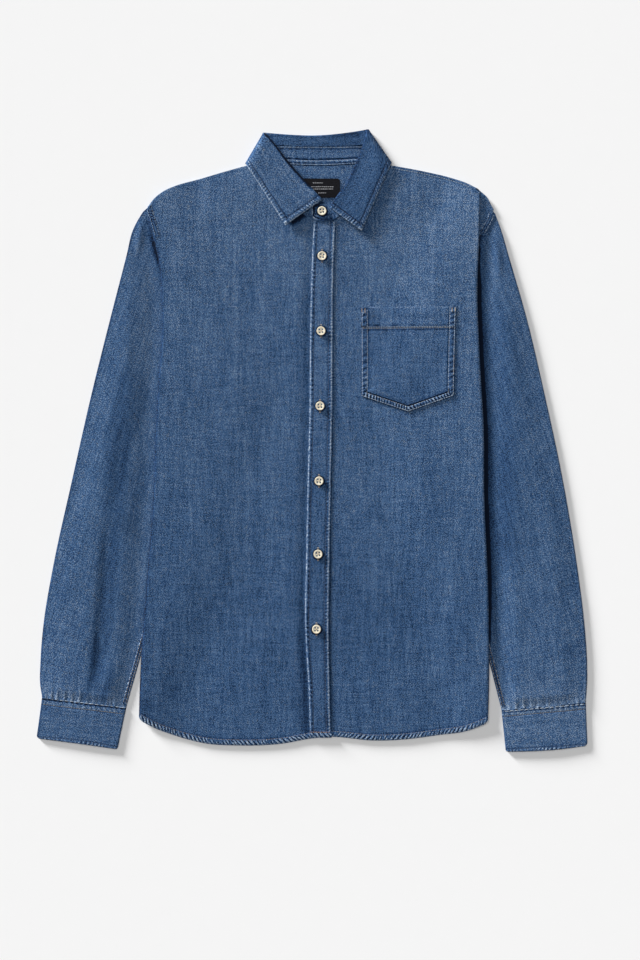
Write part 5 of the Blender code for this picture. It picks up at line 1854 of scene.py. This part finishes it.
def make_buttons():
    """The seven buttons, each sewn on with crossed threads."""
    blank = button_blank()
    material = button_material()
    for number, (x, y) in enumerate(BUTTONS, start=1):
        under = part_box(f"button_{number}")[0][2]
        mesh = blank.data.copy()
        button = bpy.data.objects.new(f"button_face_{number}", mesh)
        bpy.context.scene.collection.objects.link(button)
        turn = math.radians(9.0 * math.sin(2.3 * number))
        for vertex in mesh.vertices:
            px, py, pz = vertex.co
            vertex.co = (
                px * math.cos(turn) - py * math.sin(turn) + (x + MIDDLE_X) * MM,
                px * math.sin(turn) + py * math.cos(turn) + y * MM,
                pz + under,
            )
        mesh.materials.clear()
        mesh.materials.append(material)
        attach(button, "root")
        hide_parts(f"button_{number}")
        face_z = under / MM + BUTTON_RIM - 0.4
        spots = []
        for k in range(4):
            angle = turn + math.pi / 4 + k * math.pi / 2
            spots.append((x + 1.4 * math.cos(angle), y + 1.4 * math.sin(angle), face_z))
        rows = [np.array([spots[0], spots[2]]), np.array([spots[1], spots[3]])]
        stitches(
            f"button_thread_{number}", rows, thread("button"), radius=0.4, length=2.6,
            gap=0.1, sink=1.4,
        )
    bpy.data.objects.remove(blank, do_unlink=True)


def make_stage():
    """A pale floor, soft light from the wearer's right and above, and the camera overhead."""
    bpy.ops.object.select_all(action="DESELECT")
    bpy.ops.mesh.primitive_plane_add(size=40.0, location=(0.0, 0.0, -0.00005))
    floor = bpy.context.active_object
    floor.name = "pale_floor"
    bpy.ops.object.transform_apply(location=True, rotation=True, scale=True)
    floor.data.materials.append(floor_material())

    world = bpy.data.worlds.new("soft_room")
    world.use_nodes = True
    light = bpy.context.scene.shirt_light
    background = world.node_tree.nodes["Background"]
    background.inputs["Color"].default_value = (1.0, 1.0, 1.0, 1.0)
    background.inputs["Strength"].default_value = light.room
    bpy.context.scene.world = world

    sources = (
        ("window", light.window, light.window_angle, WINDOW_ELEVATION),
        ("ceiling", light.ceiling, light.ceiling_angle, CEILING_ELEVATION),
    )
    for name, energy, angle, elevation in sources:
        lamp = bpy.data.lights.new(name, "SUN")
        lamp.energy = energy
        lamp.angle = angle
        source = bpy.data.objects.new(name, lamp)
        bpy.context.scene.collection.objects.link(source)
        elevation, azimuth = math.radians(elevation), math.radians(LIGHT_AZIMUTH)
        towards = Vector((
            math.cos(elevation) * math.cos(azimuth),
            math.cos(elevation) * math.sin(azimuth),
            math.sin(elevation),
        ))
        source.rotation_euler = (-towards).to_track_quat("-Z", "Y").to_euler()

    lens = bpy.data.cameras.new("overhead")
    lens.sensor_width = SENSOR
    lens.lens = SENSOR * CAMERA_HEIGHT / (PICTURE_HEIGHT * PICTURE_SCALE)
    lens.clip_start = 0.1
    lens.clip_end = 100.0
    camera = bpy.data.objects.new("overhead", lens)
    camera.location = (CAMERA_POINT[0] * MM, CAMERA_POINT[1] * MM, CAMERA_HEIGHT * MM)
    bpy.context.scene.collection.objects.link(camera)
    bpy.context.scene.camera = camera
    bpy.context.scene.view_settings.view_transform = "Standard"


# ---------------------------------------------------------------- add-on


def length_property(name, description, default):
    """A length in metres that the user can change."""
    return FloatProperty(name=name, description=description, default=default, unit="LENGTH")


class ShirtSizes(bpy.types.PropertyGroup):
    """Sizes of the cloth, the sewing and the buttons."""

    cloth_wall: length_property("Cloth wall", "Thickness of one layer of denim", 0.0007)
    fused_wall: length_property("Doubled wall", "Thickness of the collar and the cuffs", 0.0012)
    hem_width: length_property("Hem width", "Width of the turned hem", 0.008)
    pucker_height: length_property("Pucker height", "Puckers along stitched edges", 0.00032)
    pucker_period: length_property("Pucker spacing", "From one pucker to the next", 0.0056)
    stitch_length: length_property("Stitch length", "Thread that shows in a stitch", 0.0027)
    stitch_gap: length_property("Stitch gap", "Distance between two stitches", 0.0006)
    thread_radius: length_property("Thread radius", "Half the thickness of the thread", 0.0003)
    button_radius: length_property("Button radius", "Half a button's width", 0.0057)


def colour_property(name, description, default):
    """A colour that the user can change."""
    return FloatVectorProperty(
        name=name, description=description, default=default, size=3, min=0.0, max=1.0, subtype="COLOR"
    )


class ShirtColours(bpy.types.PropertyGroup):
    """Colours of the denim, the threads, the buttons and the label."""

    # The ramp's deepest stop: the darkest yarns, and the near black of the painted shade in crevices and
    # gaps
    denim_deep_and_shade: colour_property("Deep indigo", "Unfaded cloth in creases", (0.002, 0.006, 0.018))
    denim_dark: colour_property("Dark indigo", "Dark yarns", (0.014, 0.044, 0.118))
    denim_blue: colour_property("Denim blue", "The cloth's middle tone", (0.0345, 0.085, 0.186))
    denim_light: colour_property("Light blue", "Washed yarns", (0.078, 0.148, 0.275))
    denim_pale: colour_property("Worn edge", "Weft that shows at worn edges", (0.36, 0.44, 0.54))
    thread_pale: colour_property("Pale thread", "Topstitching", (0.38, 0.45, 0.53))
    thread_tan: colour_property("Tan thread", "Seams and bar tacks", (0.34, 0.30, 0.25))
    thread_brown: colour_property("Brown thread", "Hem of the placket", (0.30, 0.17, 0.09))
    thread_blue: colour_property("Blue thread", "Topstitching of the collar", (0.05, 0.08, 0.15))
    thread_button: colour_property("Button thread", "Buttons and buttonholes", (0.56, 0.43, 0.28))
    button_cream: colour_property("Button", "Buttons", (0.76, 0.70, 0.55))
    label_black: colour_property("Label", "Woven label", (0.003, 0.003, 0.005))
    label_line: colour_property("Label lines", "Plain lines of the label", (0.55, 0.56, 0.60))


class ShirtLight(bpy.types.PropertyGroup):
    """Strength of the light."""

    window: FloatProperty(name="Window", description="Strength of the low window", default=7.84)
    window_angle: FloatProperty(
        name="Window width", description="Angle that the window fills",
        default=math.radians(13.5), subtype="ANGLE",
    )
    ceiling: FloatProperty(name="Ceiling", description="Strength of the light above", default=1.37)
    ceiling_angle: FloatProperty(
        name="Ceiling width", description="Angle that the soft light fills",
        default=math.radians(40.0), subtype="ANGLE",
    )
    room: FloatProperty(name="Room", description="Strength of the light all round", default=0.1)


class SHIRT_OT_stage(bpy.types.Operator):
    """Make the floor, the light and the camera"""

    bl_idname = "shirt.stage"
    bl_label = "Stage"

    def execute(self, context):
        make_stage()
        return {"FINISHED"}


class SHIRT_OT_sleeves(bpy.types.Operator):
    """Make both sleeves and their seams"""

    bl_idname = "shirt.sleeves"
    bl_label = "Sleeves"

    def execute(self, context):
        make_sleeves()
        return {"FINISHED"}


class SHIRT_OT_cuffs(bpy.types.Operator):
    """Make both cuffs"""

    bl_idname = "shirt.cuffs"
    bl_label = "Cuffs"

    def execute(self, context):
        make_cuffs()
        return {"FINISHED"}


class SHIRT_OT_back(bpy.types.Operator):
    """Make the back and the yoke"""

    bl_idname = "shirt.back"
    bl_label = "Back and yoke"

    def execute(self, context):
        make_back()
        make_yoke()
        return {"FINISHED"}


class SHIRT_OT_fronts(bpy.types.Operator):
    """Make both fronts and their hems"""

    bl_idname = "shirt.fronts"
    bl_label = "Fronts"

    def execute(self, context):
        make_fronts()
        return {"FINISHED"}


class SHIRT_OT_placket(bpy.types.Operator):
    """Make the placket and its buttonholes"""

    bl_idname = "shirt.placket"
    bl_label = "Placket"

    def execute(self, context):
        make_placket()
        return {"FINISHED"}


class SHIRT_OT_pocket(bpy.types.Operator):
    """Make the breast pocket"""

    bl_idname = "shirt.pocket"
    bl_label = "Pocket"

    def execute(self, context):
        make_pocket()
        return {"FINISHED"}


class SHIRT_OT_neck(bpy.types.Operator):
    """Make the stand, the collar and the label"""

    bl_idname = "shirt.neck"
    bl_label = "Collar, stand and label"

    def execute(self, context):
        make_stand()
        make_collar()
        make_label()
        return {"FINISHED"}


class SHIRT_OT_buttons(bpy.types.Operator):
    """Make the buttons"""

    bl_idname = "shirt.buttons"
    bl_label = "Buttons"

    def execute(self, context):
        make_buttons()
        return {"FINISHED"}


OPERATORS = (
    SHIRT_OT_stage,
    SHIRT_OT_sleeves,
    SHIRT_OT_cuffs,
    SHIRT_OT_back,
    SHIRT_OT_fronts,
    SHIRT_OT_placket,
    SHIRT_OT_pocket,
    SHIRT_OT_neck,
    SHIRT_OT_buttons,
)


class SHIRT_PT_panel(bpy.types.Panel):
    """Lists the shirt's pieces, sizes and colours"""

    bl_label = "Denim shirt"
    bl_idname = "SHIRT_PT_panel"
    bl_space_type = "VIEW_3D"
    bl_region_type = "UI"
    bl_category = "Shirt"

    def draw(self, context):
        for operator in OPERATORS:
            self.layout.operator(operator.bl_idname)
        for group in (context.scene.shirt_sizes, context.scene.shirt_colours, context.scene.shirt_light):
            box = self.layout.box()
            for name in group.__annotations__:
                box.prop(group, name)


CLASSES = (ShirtSizes, ShirtColours, ShirtLight, *OPERATORS, SHIRT_PT_panel)


def register():
    for made in CLASSES:
        bpy.utils.register_class(made)
    bpy.types.Scene.shirt_sizes = PointerProperty(type=ShirtSizes)
    bpy.types.Scene.shirt_colours = PointerProperty(type=ShirtColours)
    bpy.types.Scene.shirt_light = PointerProperty(type=ShirtLight)


def unregister():
    del bpy.types.Scene.shirt_light
    del bpy.types.Scene.shirt_colours
    del bpy.types.Scene.shirt_sizes
    for made in reversed(CLASSES):
        bpy.utils.unregister_class(made)


def main():
    """Makes the shirt."""
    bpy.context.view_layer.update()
    register()
    for operator in OPERATORS:
        group, name = operator.bl_idname.split(".")
        getattr(getattr(bpy.ops, group), name)()


if __name__ == "__main__":
    main()
